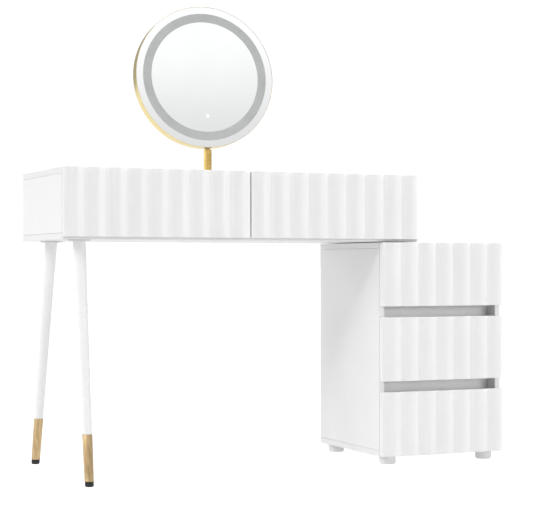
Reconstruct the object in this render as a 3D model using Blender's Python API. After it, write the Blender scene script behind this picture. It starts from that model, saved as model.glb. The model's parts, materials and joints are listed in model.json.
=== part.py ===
"""Vanity table with a lit round mirror: a shallow desk with two fluted drawers that
stands on two splayed legs at its left end and on a three-drawer pedestal at its right
end. The pedestal slides along under the desk, so the table can be drawn out or closed up.

Metres, +Z up, +X to the sitter's right, the drawer fronts face -Y. The origin is on the
floor, under the middle of the table's overall length and of the desk's depth.
"""

import math

import bmesh
import bpy
from mathutils import Matrix

# ---------------------------------------------------------------- overall sizes
DESK_W = 0.960
DESK_D = 0.370
DESK_H = 0.750
DESK_BODY_H = 0.172
PEDESTAL_W = 0.365
PEDESTAL_OVERLAP = 0.112  # how much of the pedestal is under the desk
PEDESTAL_LIFT = 0.023  # floor to the pedestal's underside
PEDESTAL_PLAY = 0.002  # desk underside to the pedestal's top

# ---------------------------------------------------------------- boards
BOARD_T = 0.015
BACK_T = 0.009
FIT = 0.0003  # between two pieces that touch
FRONT_T = 0.020
FRONT_GAP = 0.002  # behind a closed drawer front
FRONT_SPLIT = 0.003  # between the two desk fronts
FRONT_RISE = 0.006  # how far a desk front ends above the desk's underside
FINGER_SLOT_H = 0.028  # between two pedestal fronts
RAIL_SETBACK = 0.040  # rail behind the pedestal's front edges
RAIL_LAP = 0.008  # how far a rail reaches past its finger slot

# ---------------------------------------------------------------- fluted fronts
DESK_FLUTES = 9
PEDESTAL_FLUTES = 7
FLUTE_DEPTH = 0.0065
CREST_SHARE = 0.62  # the rounded crest's share of one flute
# Where in a flute a front begins, counted from the hollow's start.
DESK_FLUTE_START = 0.09
PEDESTAL_FLUTE_START = 0.0
CREST_STEPS = 6
HOLLOW_STEPS = 4

# ---------------------------------------------------------------- drawers and runners
DRAWER_REAR_GAP = 0.040  # behind a closed drawer
DRAWER_WALL = 0.012
DRAWER_FLOOR_T = 0.005
DRAWER_FLOOR_LIFT = 0.008
DRAWER_HEADROOM = 0.010
DRAWER_FOOTROOM = 0.008
RUNNER_T = 0.0122
RUNNER_H = 0.035
RUNNER_WALL = 0.0015
RUNNER_REAR_GAP = 0.045
RUNNER_SETBACK = 0.004  # behind the board edges at the front
RUNNER_PLAY = 0.0005  # between a runner and its drawer

# ---------------------------------------------------------------- legs and feet
LEG_INSET_X = 0.0557
LEG_INSET_Y = 0.0655
LEG_SPLAY_X = math.radians(0.90)
LEG_SPLAY_Y = math.radians(11.03)
LEG_TOP_R = 0.0155
LEG_FOOT_R = 0.0105
LEG_PLATE_R = 0.028
LEG_PLATE_T = 0.0025
FERRULE_TOP = 0.120  # above the floor
FERRULE_WALL = 0.0012
FERRULE_PROUD = 0.0004
CAP_H = 0.012
CAP_ROUND = 0.004
CAP_STEM_R = 0.005
CAP_STEM_H = 0.010
FOOT_R = 0.0215
FOOT_ROUND = 0.004
FOOT_SIDE_INSET = 0.037  # pedestal side to a foot's centre
FOOT_END_INSET = 0.025  # pedestal front or back to a foot's centre
ROUND_SIDES = 24

# ---------------------------------------------------------------- mirror
MIRROR_R = 0.1888
MIRROR_T = 0.032
MIRROR_X = 0.0  # from the desk's middle
MIRROR_BACK_INSET = 0.075  # post axis to the desk's back edge
PIVOT_Z = 0.0875  # tilt axis above the desk
SWIVEL_REST = math.radians(-4.13)
TILT_REST = math.radians(5.09)
LEAN_REST = math.radians(-2.20)  # the knuckle stands a little out of plumb
TILT_LIMIT = math.radians(15.0)  # each way from upright
POST_R = 0.0102
POST_BORE_R = 0.0076
POST_BORE_DEPTH = 0.030
FLANGE_R = 0.030
FLANGE_T = 0.006
RIM_WALL = 0.0020
RIM_ROUND = 0.0015
RIM_SEAT = 0.0040  # ledge that the glass rests on
RIM_SEAT_T = 0.0020
GLASS_T = 0.0040
GLASS_RECESS = 0.0006
RING_MARGIN = 0.0188  # from the mirror's edge to the lit ring
RING_WIDTH = 0.0230
DIFFUSER_T = 0.0030
LED_T = 0.0016
LED_MARGIN = 0.0035
COVER_T = 0.0030
NECK_R = 0.0055
EYE_R = 0.0065
EYE_LENGTH = 0.012
EYE_PLAY = 0.0025  # between the eye and the rim
PIN_R = 0.0025
LUG_T = 0.0050
LUG_PLAY = 0.0008
LUG_DEPTH = 0.0120
SLOT_PLAY = 0.0025  # past the neck when the mirror is at its limit
SENSOR_R = 0.0090
SENSOR_T = 0.0015
SENSOR_MARGIN = 0.043  # from the lit ring to the touch pad's centre
MIRROR_SIDES = 64

# ---------------------------------------------------------------- sizes that follow
TOTAL_W = DESK_W + PEDESTAL_W - PEDESTAL_OVERLAP
DESK_X0 = -TOTAL_W / 2
DESK_X1 = DESK_X0 + DESK_W
PEDESTAL_X1 = TOTAL_W / 2
PEDESTAL_X0 = PEDESTAL_X1 - PEDESTAL_W
FRONT_Y = -DESK_D / 2
BACK_Y = DESK_D / 2
BODY_Y = FRONT_Y + FRONT_T + FRONT_GAP
DESK_UNDER = DESK_H - DESK_BODY_H
PEDESTAL_TOP = DESK_UNDER - PEDESTAL_PLAY
SIDE_PLAY = RUNNER_T + FIT + RUNNER_PLAY
DRAWER_Y0 = FRONT_Y + FRONT_T + FIT
DRAWER_Y1 = BACK_Y - BACK_T - DRAWER_REAR_GAP
RUNNER_Y0 = BODY_Y + RUNNER_SETBACK
RUNNER_Y1 = BACK_Y - BACK_T - RUNNER_REAR_GAP
PIVOT_INSET = RIM_WALL + EYE_R + EYE_PLAY  # tilt axis inside the rim
RING_OUT_R = MIRROR_R - RING_MARGIN
RING_IN_R = RING_OUT_R - RING_WIDTH
SENSOR_DROP = RING_IN_R - SENSOR_MARGIN  # below the mirror's centre
MIRROR_POST_X = (DESK_X0 + DESK_X1) / 2 + MIRROR_X
MIRROR_POST_Y = BACK_Y - MIRROR_BACK_INSET

WHITE = (0.88, 0.88, 0.88)
FRONT_WHITE = (0.87, 0.87, 0.87)
BOX_WHITE = (0.80, 0.80, 0.79)
RAIL_GREY = (0.70, 0.70, 0.70)
STEEL = (0.62, 0.63, 0.65)
GOLD = (0.76, 0.58, 0.28)
FERRULE_GOLD = (0.66, 0.49, 0.30)
BLACK = (0.02, 0.02, 0.02)
FOOT_GREY = (0.74, 0.74, 0.74)
SILVER = (0.90, 0.91, 0.93)
FROST = (0.62, 0.64, 0.66)


def clear_scene():
    for obj in list(bpy.data.objects):
        bpy.data.objects.remove(obj, do_unlink=True)


def finish_of(name, colour, roughness, metallic=0.0):
    """A Principled material, made once."""
    if name in bpy.data.materials:
        return bpy.data.materials[name]
    mat = bpy.data.materials.new(name)
    mat.use_nodes = True
    shader = mat.node_tree.nodes["Principled BSDF"]
    shader.inputs["Base Color"].default_value = (*colour, 1.0)
    shader.inputs["Roughness"].default_value = roughness
    shader.inputs["Metallic"].default_value = metallic
    mat.diffuse_color = (*colour, 1.0)
    return mat


def add_piece(name, bm, mat, parent=None, location=(0, 0, 0), rotation=(0, 0, 0)):
    """Turns a bmesh into a named object with one material."""
    bmesh.ops.recalc_face_normals(bm, faces=bm.faces)
    mesh = bpy.data.meshes.new(name)
    bm.to_mesh(mesh)
    bm.free()
    mesh.materials.append(mat)
    obj = bpy.data.objects.new(name, mesh)
    bpy.context.collection.objects.link(obj)
    obj.parent = parent
    obj.location = location
    obj.rotation_euler = rotation
    return obj


def add_axis(name, location, rotation=(0, 0, 0), parent=None):
    """An empty on a joint's axis, which the moving pieces hang from."""
    axis = bpy.data.objects.new(name, None)
    bpy.context.collection.objects.link(axis)
    axis.empty_display_size = 0.05
    axis.parent = parent
    axis.location = location
    axis.rotation_euler = rotation
    return axis


def box_mesh(size):
    bm = bmesh.new()
    bmesh.ops.create_cube(bm, size=1.0)
    bmesh.ops.scale(bm, vec=size, verts=bm.verts)
    return bm


def board(name, low, high, mat, axis=None):
    """A flat board between two corners in the table's frame."""
    size = [b - a for a, b in zip(low, high)]
    middle = [(a + b) / 2 for a, b in zip(low, high)]
    if axis:
        middle = [m - o for m, o in zip(middle, axis.location)]
    return add_piece(name, box_mesh(size), mat, axis, middle)


def prism_mesh(outline, height):
    """A closed outline in XY, extruded up by height."""
    bm = bmesh.new()
    ring = [bm.verts.new((x, y, 0.0)) for x, y in outline]
    face = bm.faces.new(ring)
    extruded = bmesh.ops.extrude_face_region(bm, geom=[face])["geom"]
    top = [v for v in extruded if isinstance(v, bmesh.types.BMVert)]
    bmesh.ops.translate(bm, vec=(0.0, 0.0, height), verts=top)
    return bm


def turned_mesh(profile, sides, closed=False):
    """A profile of (radius, z) points turned about Z. A closed profile makes a ring."""
    bm = bmesh.new()
    points = [bm.verts.new((r, 0.0, z)) for r, z in profile]
    pairs = list(zip(points, points[1:]))
    if closed:
        pairs.append((points[-1], points[0]))
    edges = [bm.edges.new(pair) for pair in pairs]
    bmesh.ops.spin(
        bm,
        geom=points + edges,
        cent=(0, 0, 0),
        axis=(0, 0, 1),
        angle=2 * math.pi,
        steps=sides,
        use_merge=True,
    )
    bmesh.ops.remove_doubles(bm, verts=bm.verts, dist=0.00001)
    return bm


def smooth(obj, angle=35):
    obj.data.shade_smooth()
    obj.data.set_sharp_from_angle(angle=math.radians(angle))


def round_corner(cx, cz, radius, start, steps=3):
    """Points along a quarter circle, from the start angle in degrees."""
    turns = [math.radians(start + 90 * i / steps) for i in range(steps + 1)]
    return [(cx + radius * math.cos(t), cz + radius * math.sin(t)) for t in turns]


def cut(obj, tool, operation="DIFFERENCE"):
    """Cuts or joins a tool shape, which the finished model leaves out."""
    tool.hide_render = True
    tool.display_type = "WIRE"
    step = obj.modifiers.new(tool.name, "BOOLEAN")
    step.operation = operation
    step.solver = "EXACT"
    step.object = tool


# ---------------------------------------------------------------- fluted drawer fronts
def flute_points(width, flutes, start):
    """The fluted face as (x, depth) from left to right, crests at depth 0.

    Each flute is a rounded crest and a rounded hollow, two parabolas that share their
    slope where they meet.
    """
    pitch = width / flutes
    crest_rise = FLUTE_DEPTH * CREST_SHARE
    hollow_drop = FLUTE_DEPTH - crest_rise
    hollow = 1 - CREST_SHARE

    def depth(place):
        place = place % 1.0
        if place < hollow:
            s = 2 * place / hollow - 1
            return crest_rise + hollow_drop * (1 - s * s)
        s = 2 * (place - hollow) / CREST_SHARE - 1
        return crest_rise * s * s

    stops = [hollow * i / HOLLOW_STEPS for i in range(HOLLOW_STEPS)]
    stops += [hollow + CREST_SHARE * i / CREST_STEPS for i in range(CREST_STEPS)]
    places = [n + s for n in range(flutes + 1) for s in stops]
    inside = [p for p in places if start < p < flutes + start]
    places = [start, *inside, flutes + start]
    return [((p - start) * pitch, depth(p)) for p in places]


def fluted_front(name, x0, x1, z0, z1, flutes, start, axis):
    face = flute_points(x1 - x0, flutes, start)
    outline = [(x, y) for x, y in face]
    outline += [(x1 - x0, FRONT_T), (0.0, FRONT_T)]
    mat = finish_of("front_lacquer", FRONT_WHITE, 0.35)
    place = (x0 - axis.location.x, FRONT_Y - axis.location.y, z0 - axis.location.z)
    front = add_piece(name, prism_mesh(outline, z1 - z0), mat, axis, place)
    smooth(front, 30)


# ---------------------------------------------------------------- drawers
def drawer_frame_mesh(width, depth, height):
    """Four walls in one piece, open above and below."""
    bm = box_mesh((width, depth, height))
    ends = [f for f in bm.faces if abs(f.normal.z) > 0.5]
    bmesh.ops.inset_region(bm, faces=ends, thickness=DRAWER_WALL, use_even_offset=True)
    loops = []
    for face in ends:
        loops += list(face.edges)
    bmesh.ops.delete(bm, geom=ends, context="FACES_ONLY")
    bmesh.ops.bridge_loops(bm, edges=loops)
    return bm


def drawer(name, front, inner, flutes, start):
    """A fluted front, a four-walled frame and a floor, on one slide axis.

    front is (x0, x1, z0, z1) of the fluted front, and inner is the same for the space
    in the cabinet that the drawer slides in. Returns the height of its runners.
    """
    x0, x1, z0, z1 = inner
    axis = add_axis(name + "_slide", ((x0 + x1) / 2, FRONT_Y, (front[2] + front[3]) / 2))
    fluted_front(name + "_front", *front, flutes, start, axis)

    box_x0, box_x1 = x0 + SIDE_PLAY, x1 - SIDE_PLAY
    box_z0, box_z1 = z0 + DRAWER_FOOTROOM, z1 - DRAWER_HEADROOM
    mat = finish_of("drawer_board", BOX_WHITE, 0.5)
    z_middle = (box_z0 + box_z1) / 2
    middle = ((box_x0 + box_x1) / 2, (DRAWER_Y0 + DRAWER_Y1) / 2, z_middle)
    mesh = drawer_frame_mesh(box_x1 - box_x0, DRAWER_Y1 - DRAWER_Y0, box_z1 - box_z0)
    place = [m - o for m, o in zip(middle, axis.location)]
    add_piece(name + "_frame", mesh, mat, axis, place)

    inset = DRAWER_WALL + FIT
    floor_z = box_z0 + DRAWER_FLOOR_LIFT
    low = (box_x0 + inset, DRAWER_Y0 + inset, floor_z)
    high = (box_x1 - inset, DRAWER_Y1 - inset, floor_z + DRAWER_FLOOR_T)
    board(name + "_floor", low, high, mat, axis)
    return z_middle


def runner(name, x_wall, side, z_middle):
    """A channel screwed to a cabinet wall. side is +1 where the drawer is to its right."""
    x_back = x_wall + side * FIT
    web = side * RUNNER_WALL
    deep = side * RUNNER_T
    low, high = -RUNNER_H / 2, RUNNER_H / 2
    outline = [
        (0.0, low),
        (deep, low),
        (deep, low + RUNNER_WALL),
        (web, low + RUNNER_WALL),
        (web, high - RUNNER_WALL),
        (deep, high - RUNNER_WALL),
        (deep, high),
        (0.0, high),
    ]
    bm = prism_mesh(outline, RUNNER_Y1 - RUNNER_Y0)
    # the extrusion runs along +Y and the outline's second value along +Z
    turn = Matrix(((1, 0, 0, 0), (0, 0, 1, 0), (0, 1, 0, 0), (0, 0, 0, 1)))
    bmesh.ops.transform(bm, matrix=turn, verts=bm.verts)
    mat = finish_of("runner_steel", STEEL, 0.35, 1.0)
    place = (x_back, RUNNER_Y0, z_middle)
    add_piece(name, bm, mat, None, place)


# ---------------------------------------------------------------- desk
def build_desk():
    mat = finish_of("body_lacquer", WHITE, 0.35)
    z0, z1 = DESK_UNDER, DESK_H
    side_z0, side_z1 = z0 + BOARD_T + FIT, z1 - BOARD_T - FIT
    in_x0, in_x1 = DESK_X0 + BOARD_T, DESK_X1 - BOARD_T
    board("desk_top", (DESK_X0, BODY_Y, z1 - BOARD_T), (DESK_X1, BACK_Y, z1), mat)
    board("desk_bottom", (DESK_X0, BODY_Y, z0), (DESK_X1, BACK_Y, z0 + BOARD_T), mat)
    board("desk_left_side", (DESK_X0, BODY_Y, side_z0), (in_x0, BACK_Y, side_z1), mat)
    board("desk_right_side", (in_x1, BODY_Y, side_z0), (DESK_X1, BACK_Y, side_z1), mat)
    back_y = BACK_Y - BACK_T
    board(
        "desk_back",
        (in_x0 + FIT, back_y, side_z0),
        (in_x1 - FIT, BACK_Y, side_z1),
        mat,
    )
    middle = (DESK_X0 + DESK_X1) / 2
    wall_x0, wall_x1 = middle - BOARD_T / 2, middle + BOARD_T / 2
    board(
        "desk_divider",
        (wall_x0, BODY_Y, side_z0),
        (wall_x1, back_y - FIT, side_z1),
        mat,
    )

    inner_z0, inner_z1 = z0 + BOARD_T, z1 - BOARD_T
    front_z = (z0 + FRONT_RISE, z1)
    half_split = FRONT_SPLIT / 2
    bays = {
        "left": (DESK_X0, middle - half_split, in_x0, wall_x0),
        "right": (middle + half_split, DESK_X1, wall_x1, in_x1),
    }
    for side, (x0, x1, bay_x0, bay_x1) in bays.items():
        name = "desk_drawer_" + side
        bay = (bay_x0, bay_x1, inner_z0, inner_z1)
        face = (x0, x1, *front_z)
        z_middle = drawer(name, face, bay, DESK_FLUTES, DESK_FLUTE_START)
        runner("desk_" + side + "_bay_runner_left", bay_x0, +1, z_middle)
        runner("desk_" + side + "_bay_runner_right", bay_x1, -1, z_middle)


# ---------------------------------------------------------------- legs
def leg_radius(z):
    return LEG_FOOT_R + (LEG_TOP_R - LEG_FOOT_R) * z / DESK_UNDER


def splayed(name, profile, mat, leg_top, away, closed=False):
    """A turned piece of a leg, leaned so that it stays level at the floor and the desk.

    away is -1 for the front leg and +1 for the rear one.
    """
    bm = turned_mesh(profile, ROUND_SIDES, closed)
    for v in bm.verts:
        drop = DESK_UNDER - v.co.z
        v.co.x -= drop * math.tan(LEG_SPLAY_X)
        v.co.y += away * drop * math.tan(LEG_SPLAY_Y)
    piece = add_piece(name, bm, mat, None, (*leg_top, 0.0))
    smooth(piece)


def build_legs():
    paint = finish_of("leg_lacquer", WHITE, 0.3)
    steel = finish_of("leg_plate_paint", WHITE, 0.4, 0.2)
    gold = finish_of("ferrule_gold", FERRULE_GOLD, 0.32, 1.0)
    rubber = finish_of("cap_rubber", BLACK, 0.6)
    top_z = DESK_UNDER - FIT
    plate_z = top_z - LEG_PLATE_T
    leg_z = plate_z - FIT
    ferrule_z0 = CAP_H + FIT
    ferrule_z1 = FERRULE_TOP
    core = FERRULE_WALL + FIT - FERRULE_PROUD
    stem_top = CAP_H + CAP_STEM_H
    legs = {
        "front": (FRONT_Y + LEG_INSET_Y, -1),
        "rear": (BACK_Y - LEG_INSET_Y, +1),
    }
    for name, (y, away) in legs.items():
        leg_top = (DESK_X0 + LEG_INSET_X, y)
        plate = [(0.0, plate_z), (LEG_PLATE_R, plate_z), (LEG_PLATE_R, top_z), (0.0, top_z)]
        flat = turned_mesh(plate, ROUND_SIDES)
        add_piece("leg_plate_" + name, flat, steel, None, (*leg_top, 0.0))

        shaft = [
            (0.0, stem_top + FIT),
            (leg_radius(stem_top + FIT) - core, stem_top + FIT),
            (leg_radius(ferrule_z1 + FIT) - core, ferrule_z1 + FIT),
            (leg_radius(ferrule_z1 + FIT), ferrule_z1 + FIT),
            (leg_radius(leg_z), leg_z),
            (0.0, leg_z),
        ]
        splayed("leg_" + name, shaft, paint, leg_top, away)

        sleeve = [
            (leg_radius(ferrule_z0) + FERRULE_PROUD, ferrule_z0),
            (leg_radius(ferrule_z1) + FERRULE_PROUD, ferrule_z1),
            (leg_radius(ferrule_z1) + FERRULE_PROUD - FERRULE_WALL, ferrule_z1),
            (leg_radius(ferrule_z0) + FERRULE_PROUD - FERRULE_WALL, ferrule_z0),
        ]
        splayed("leg_ferrule_" + name, sleeve, gold, leg_top, away, closed=True)

        cap_r = leg_radius(CAP_H)
        cap = [(0.0, 0.0)]
        cap += round_corner(cap_r - CAP_ROUND, CAP_ROUND, CAP_ROUND, -90)
        cap += [(cap_r, CAP_H), (CAP_STEM_R, CAP_H)]
        cap += [(CAP_STEM_R, stem_top), (0.0, stem_top)]
        splayed("leg_cap_" + name, cap, rubber, leg_top, away)


# ---------------------------------------------------------------- pedestal
def build_pedestal():
    mat = finish_of("body_lacquer", WHITE, 0.35)
    grey = finish_of("rail_board", RAIL_GREY, 0.5)
    x0, x1 = PEDESTAL_X0, PEDESTAL_X1
    z0, z1 = PEDESTAL_LIFT, PEDESTAL_TOP
    in_x0, in_x1 = x0 + BOARD_T, x1 - BOARD_T
    side_z0, side_z1 = z0 + BOARD_T + FIT, z1 - BOARD_T - FIT
    board("pedestal_top", (x0, BODY_Y, z1 - BOARD_T), (x1, BACK_Y, z1), mat)
    board("pedestal_bottom", (x0, BODY_Y, z0), (x1, BACK_Y, z0 + BOARD_T), mat)
    board("pedestal_left_side", (x0, BODY_Y, side_z0), (in_x0, BACK_Y, side_z1), mat)
    board("pedestal_right_side", (in_x1, BODY_Y, side_z0), (x1, BACK_Y, side_z1), mat)
    board(
        "pedestal_back",
        (in_x0 + FIT, BACK_Y - BACK_T, side_z0),
        (in_x1 - FIT, BACK_Y, side_z1),
        mat,
    )

    # three equal fronts with a finger slot between each two
    drawers = ("bottom", "middle", "top")
    gaps = len(drawers) - 1
    front_h = (z1 - z0 - gaps * FINGER_SLOT_H) / len(drawers)
    space_floor = z0 + BOARD_T
    rail_y = BODY_Y + RAIL_SETBACK
    for i, name in enumerate(drawers):
        front_z0 = z0 + i * (front_h + FINGER_SLOT_H)
        front_z1 = front_z0 + front_h
        last = i == gaps
        space_top = z1 - BOARD_T if last else front_z1 - RAIL_LAP
        space = (in_x0, in_x1, space_floor, space_top)
        front = (x0, x1, front_z0, front_z1)
        z_middle = drawer(
            "pedestal_drawer_" + name, front, space, PEDESTAL_FLUTES, PEDESTAL_FLUTE_START
        )
        runner("pedestal_" + name + "_runner_left", in_x0, +1, z_middle)
        runner("pedestal_" + name + "_runner_right", in_x1, -1, z_middle)
        if not last:
            rail = "lower" if i == 0 else "upper"
            rail_top = front_z1 + FINGER_SLOT_H + RAIL_LAP
            low = (in_x0 + FIT, rail_y, front_z1 - RAIL_LAP)
            high = (in_x1 - FIT, rail_y + BOARD_T, rail_top)
            board("pedestal_rail_" + rail, low, high, grey)
            space_floor = rail_top

    plastic = finish_of("foot_plastic", FOOT_GREY, 0.45)
    foot_z = PEDESTAL_LIFT - FIT
    foot = [(0.0, 0.0)]
    foot += round_corner(FOOT_R - FOOT_ROUND, FOOT_ROUND, FOOT_ROUND, -90)
    foot += [(FOOT_R, foot_z), (0.0, foot_z)]
    across = {"left": x0 + FOOT_SIDE_INSET, "right": x1 - FOOT_SIDE_INSET}
    along = {"front": BODY_Y + FOOT_END_INSET, "rear": BACK_Y - FOOT_END_INSET}
    for row, y in along.items():
        for side, x in across.items():
            mesh = turned_mesh(foot, ROUND_SIDES)
            name = "pedestal_foot_" + row + "_" + side
            smooth(add_piece(name, mesh, plastic, None, (x, y, 0.0)))


# ---------------------------------------------------------------- mirror
def post_top_drop():
    """How far below the rim the post ends, so that the rim's corners clear it."""
    reach = PIVOT_INSET + POST_R * math.sin(TILT_LIMIT)
    return reach / math.cos(TILT_LIMIT) - PIVOT_INSET + 2 * FIT


def build_post():
    gold = finish_of("post_gold", GOLD, 0.28, 1.0)
    z0 = DESK_H + FIT
    pivot_z = DESK_H + PIVOT_Z
    shoulder_z = pivot_z - PIVOT_INSET - post_top_drop()
    lip_z = shoulder_z + (POST_R - POST_BORE_R) * math.tan(TILT_LIMIT)
    bore_z = shoulder_z - POST_BORE_DEPTH
    place = (MIRROR_POST_X, MIRROR_POST_Y, 0.0)
    post = [
        (0.0, z0),
        (POST_R, z0),
        (POST_R, shoulder_z),
        (POST_BORE_R, lip_z),
        (POST_BORE_R, bore_z),
        (0.0, bore_z),
    ]
    smooth(add_piece("mirror_post", turned_mesh(post, ROUND_SIDES), gold, None, place))
    hole = POST_R + FIT
    flange = [
        (hole, z0),
        (FLANGE_R, z0),
        (FLANGE_R, z0 + FLANGE_T / 2),
        (FLANGE_R - FLANGE_T / 2, z0 + FLANGE_T),
        (hole, z0 + FLANGE_T),
    ]
    mesh = turned_mesh(flange, ROUND_SIDES, closed=True)
    smooth(add_piece("mirror_flange", mesh, gold, None, place))
    return lip_z - pivot_z, bore_z - pivot_z


def rod(name, radius, length, mat, axis, location=(0, 0, 0), rotation=(0, 0, 0)):
    """A round bar about its own Z, centred on its location."""
    half = length / 2
    profile = [(0.0, -half), (radius, -half), (radius, half), (0.0, half)]
    bar = add_piece(name, turned_mesh(profile, ROUND_SIDES), mat, axis, location, rotation)
    smooth(bar)
    return bar


def build_knuckle(swivel, lip_drop, bore_drop):
    """A spigot that turns in the post, with an eye for the tilt pin above it."""
    steel = finish_of("knuckle_steel", GOLD, 0.3, 1.0)
    spigot_r = POST_BORE_R - FIT
    spigot_top = lip_drop - FIT
    stem = [
        (0.0, bore_drop + FIT),
        (spigot_r, bore_drop + FIT),
        (spigot_r, spigot_top),
        (NECK_R, spigot_top + 2 * FIT),
        (NECK_R, 0.0),
        (0.0, 0.0),
    ]
    knuckle = add_piece("swivel_knuckle", turned_mesh(stem, ROUND_SIDES), steel, swivel)
    smooth(knuckle)
    # the eye lies along the tilt axis, which leans a little across the post
    across = (0.0, math.pi / 2 + LEAN_REST, 0.0)
    cut(knuckle, rod("eye_shape", EYE_R, EYE_LENGTH, steel, swivel, (0, 0, 0), across), "UNION")
    bore = PIN_R + FIT
    cut(knuckle, rod("eye_bore", bore, 2 * EYE_LENGTH, steel, swivel, (0, 0, 0), across))


def head_piece(name, profile, mat, tilt, sides=MIRROR_SIDES, closed=False, drop=0.0):
    """A piece turned about the mirror's own axis. Profile heights count back from the face."""
    place = (0.0, -MIRROR_T / 2, MIRROR_R - PIVOT_INSET - drop)
    turn = (-math.pi / 2, 0.0, 0.0)
    piece = add_piece(name, turned_mesh(profile, sides, closed), mat, tilt, place, turn)
    smooth(piece)
    return piece


def build_housing(tilt):
    gold = finish_of("housing_gold", GOLD, 0.28, 1.0)
    wall_r = MIRROR_R - RIM_WALL
    seat_r = wall_r - RIM_SEAT
    seat_y0 = GLASS_RECESS + GLASS_T + FIT
    seat_y1 = seat_y0 + RIM_SEAT_T
    profile = round_corner(MIRROR_R - RIM_ROUND, RIM_ROUND, RIM_ROUND, -90)
    profile += round_corner(MIRROR_R - RIM_ROUND, MIRROR_T - RIM_ROUND, RIM_ROUND, 0)
    profile += [(wall_r, MIRROR_T), (wall_r, seat_y1), (seat_r, seat_y1)]
    profile += [(seat_r, seat_y0), (wall_r, seat_y0), (wall_r, 0.0)]
    housing = head_piece("mirror_housing", profile, gold, tilt, closed=True)

    lug_top = PIN_R + 2 * FIT + RIM_WALL / 2
    lug_low = -(PIVOT_INSET - RIM_WALL / 2)
    lug_middle = (lug_top + lug_low) / 2
    lug_x = EYE_LENGTH / 2 + LUG_PLAY + LUG_T / 2
    for side, sign in (("left", -1), ("right", +1)):
        bm = box_mesh((LUG_T, LUG_DEPTH, lug_top - lug_low))
        place = (sign * lug_x, 0.0, lug_middle)
        cut(housing, add_piece("lug_shape_" + side, bm, gold, tilt, place), "UNION")
    across = (0.0, math.pi / 2, 0.0)
    hole_length = 2 * (lug_x + LUG_T)
    cut(housing, rod("lug_bore", PIN_R + FIT, hole_length, gold, tilt, (0, 0, 0), across))

    # room for the neck to lean both ways as the mirror tilts
    lean = (PIVOT_INSET + NECK_R * math.sin(TILT_LIMIT)) * math.tan(TILT_LIMIT)
    slot_depth = 2 * (NECK_R / math.cos(TILT_LIMIT) + lean + SLOT_PLAY)
    slot_width = EYE_LENGTH + LUG_PLAY
    slot_height = 2 * (RIM_WALL + RIM_SEAT + LUG_PLAY)
    bm = box_mesh((slot_width, slot_depth, slot_height))
    slot = add_piece("neck_slot", bm, gold, tilt, (0.0, 0.0, -PIVOT_INSET))
    cut(housing, slot)


def build_head(tilt):
    build_housing(tilt)
    silver = finish_of("mirror_silver", SILVER, 0.05, 1.0)
    frost = finish_of("diffuser_frost", FROST, 0.5)
    gold = finish_of("housing_gold", GOLD, 0.28, 1.0)
    board_white = finish_of("led_board", WHITE, 0.4)
    inner_r = MIRROR_R - RIM_WALL - FIT
    glass_y0, glass_y1 = GLASS_RECESS, GLASS_RECESS + GLASS_T
    glass = [(0.0, glass_y0), (inner_r, glass_y0), (inner_r, glass_y1), (0.0, glass_y1)]
    head_piece("mirror_glass", glass, silver, tilt)

    def ring(name, r0, r1, y0, y1, mat):
        outline = [(r0, y0), (r1, y0), (r1, y1), (r0, y1)]
        head_piece(name, outline, mat, tilt, closed=True)

    light_y0 = glass_y1 + FIT
    light_y1 = light_y0 + DIFFUSER_T
    ring("light_diffuser", RING_IN_R, RING_OUT_R, light_y0, light_y1, frost)
    led_y0 = light_y1 + FIT
    led_r0, led_r1 = RING_IN_R + LED_MARGIN, RING_OUT_R - LED_MARGIN
    ring("led_ring", led_r0, led_r1, led_y0, led_y0 + LED_T, board_white)

    cover_y0 = MIRROR_T - COVER_T
    cover = [(0.0, cover_y0), (inner_r, cover_y0), (inner_r, MIRROR_T), (0.0, MIRROR_T)]
    head_piece("mirror_back_cover", cover, gold, tilt)

    sensor_y1 = light_y0 + SENSOR_T
    sensor = [(0.0, light_y0), (SENSOR_R, light_y0), (SENSOR_R, sensor_y1), (0.0, sensor_y1)]
    head_piece("touch_sensor", sensor, frost, tilt, ROUND_SIDES, drop=SENSOR_DROP)


def build_mirror():
    lip_drop, bore_drop = build_post()
    pivot = (MIRROR_POST_X, MIRROR_POST_Y, DESK_H + PIVOT_Z)
    swivel = add_axis("mirror_swivel_axis", pivot, (0.0, 0.0, SWIVEL_REST))
    build_knuckle(swivel, lip_drop, bore_drop)
    # turned by lean about Y after the tilt about X, so the tilt axis itself leans
    tilt = add_axis("mirror_tilt_axis", (0, 0, 0), (-TILT_REST, LEAN_REST, 0.0), swivel)
    build_head(tilt)
    steel = finish_of("knuckle_steel", GOLD, 0.3, 1.0)
    length = EYE_LENGTH + 2 * (LUG_PLAY + LUG_T)
    rod("tilt_pin", PIN_R, length, steel, tilt, (0, 0, 0), (0.0, math.pi / 2, 0.0))


clear_scene()
build_desk()
build_legs()
build_pedestal()
build_mirror()
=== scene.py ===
# %% [markdown]
# # A vanity table with a round lit mirror
#
# The table is a long desk on two splayed legs, a drawer pedestal that carries its right
# end, and a round mirror on a gold post. A solid model already settles every size and
# every joint. This lesson gives that model its finished look: eased boards, fluted
# fronts, real drawer boxes and runners, turned metal, and finishes made of nodes.
#
# The solid model is loaded first. Its box is kept, because nothing made here may grow
# past it.

# %% Load the solid model
import json
import math

import bmesh
import bpy
from mathutils import Matrix, Vector

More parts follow.
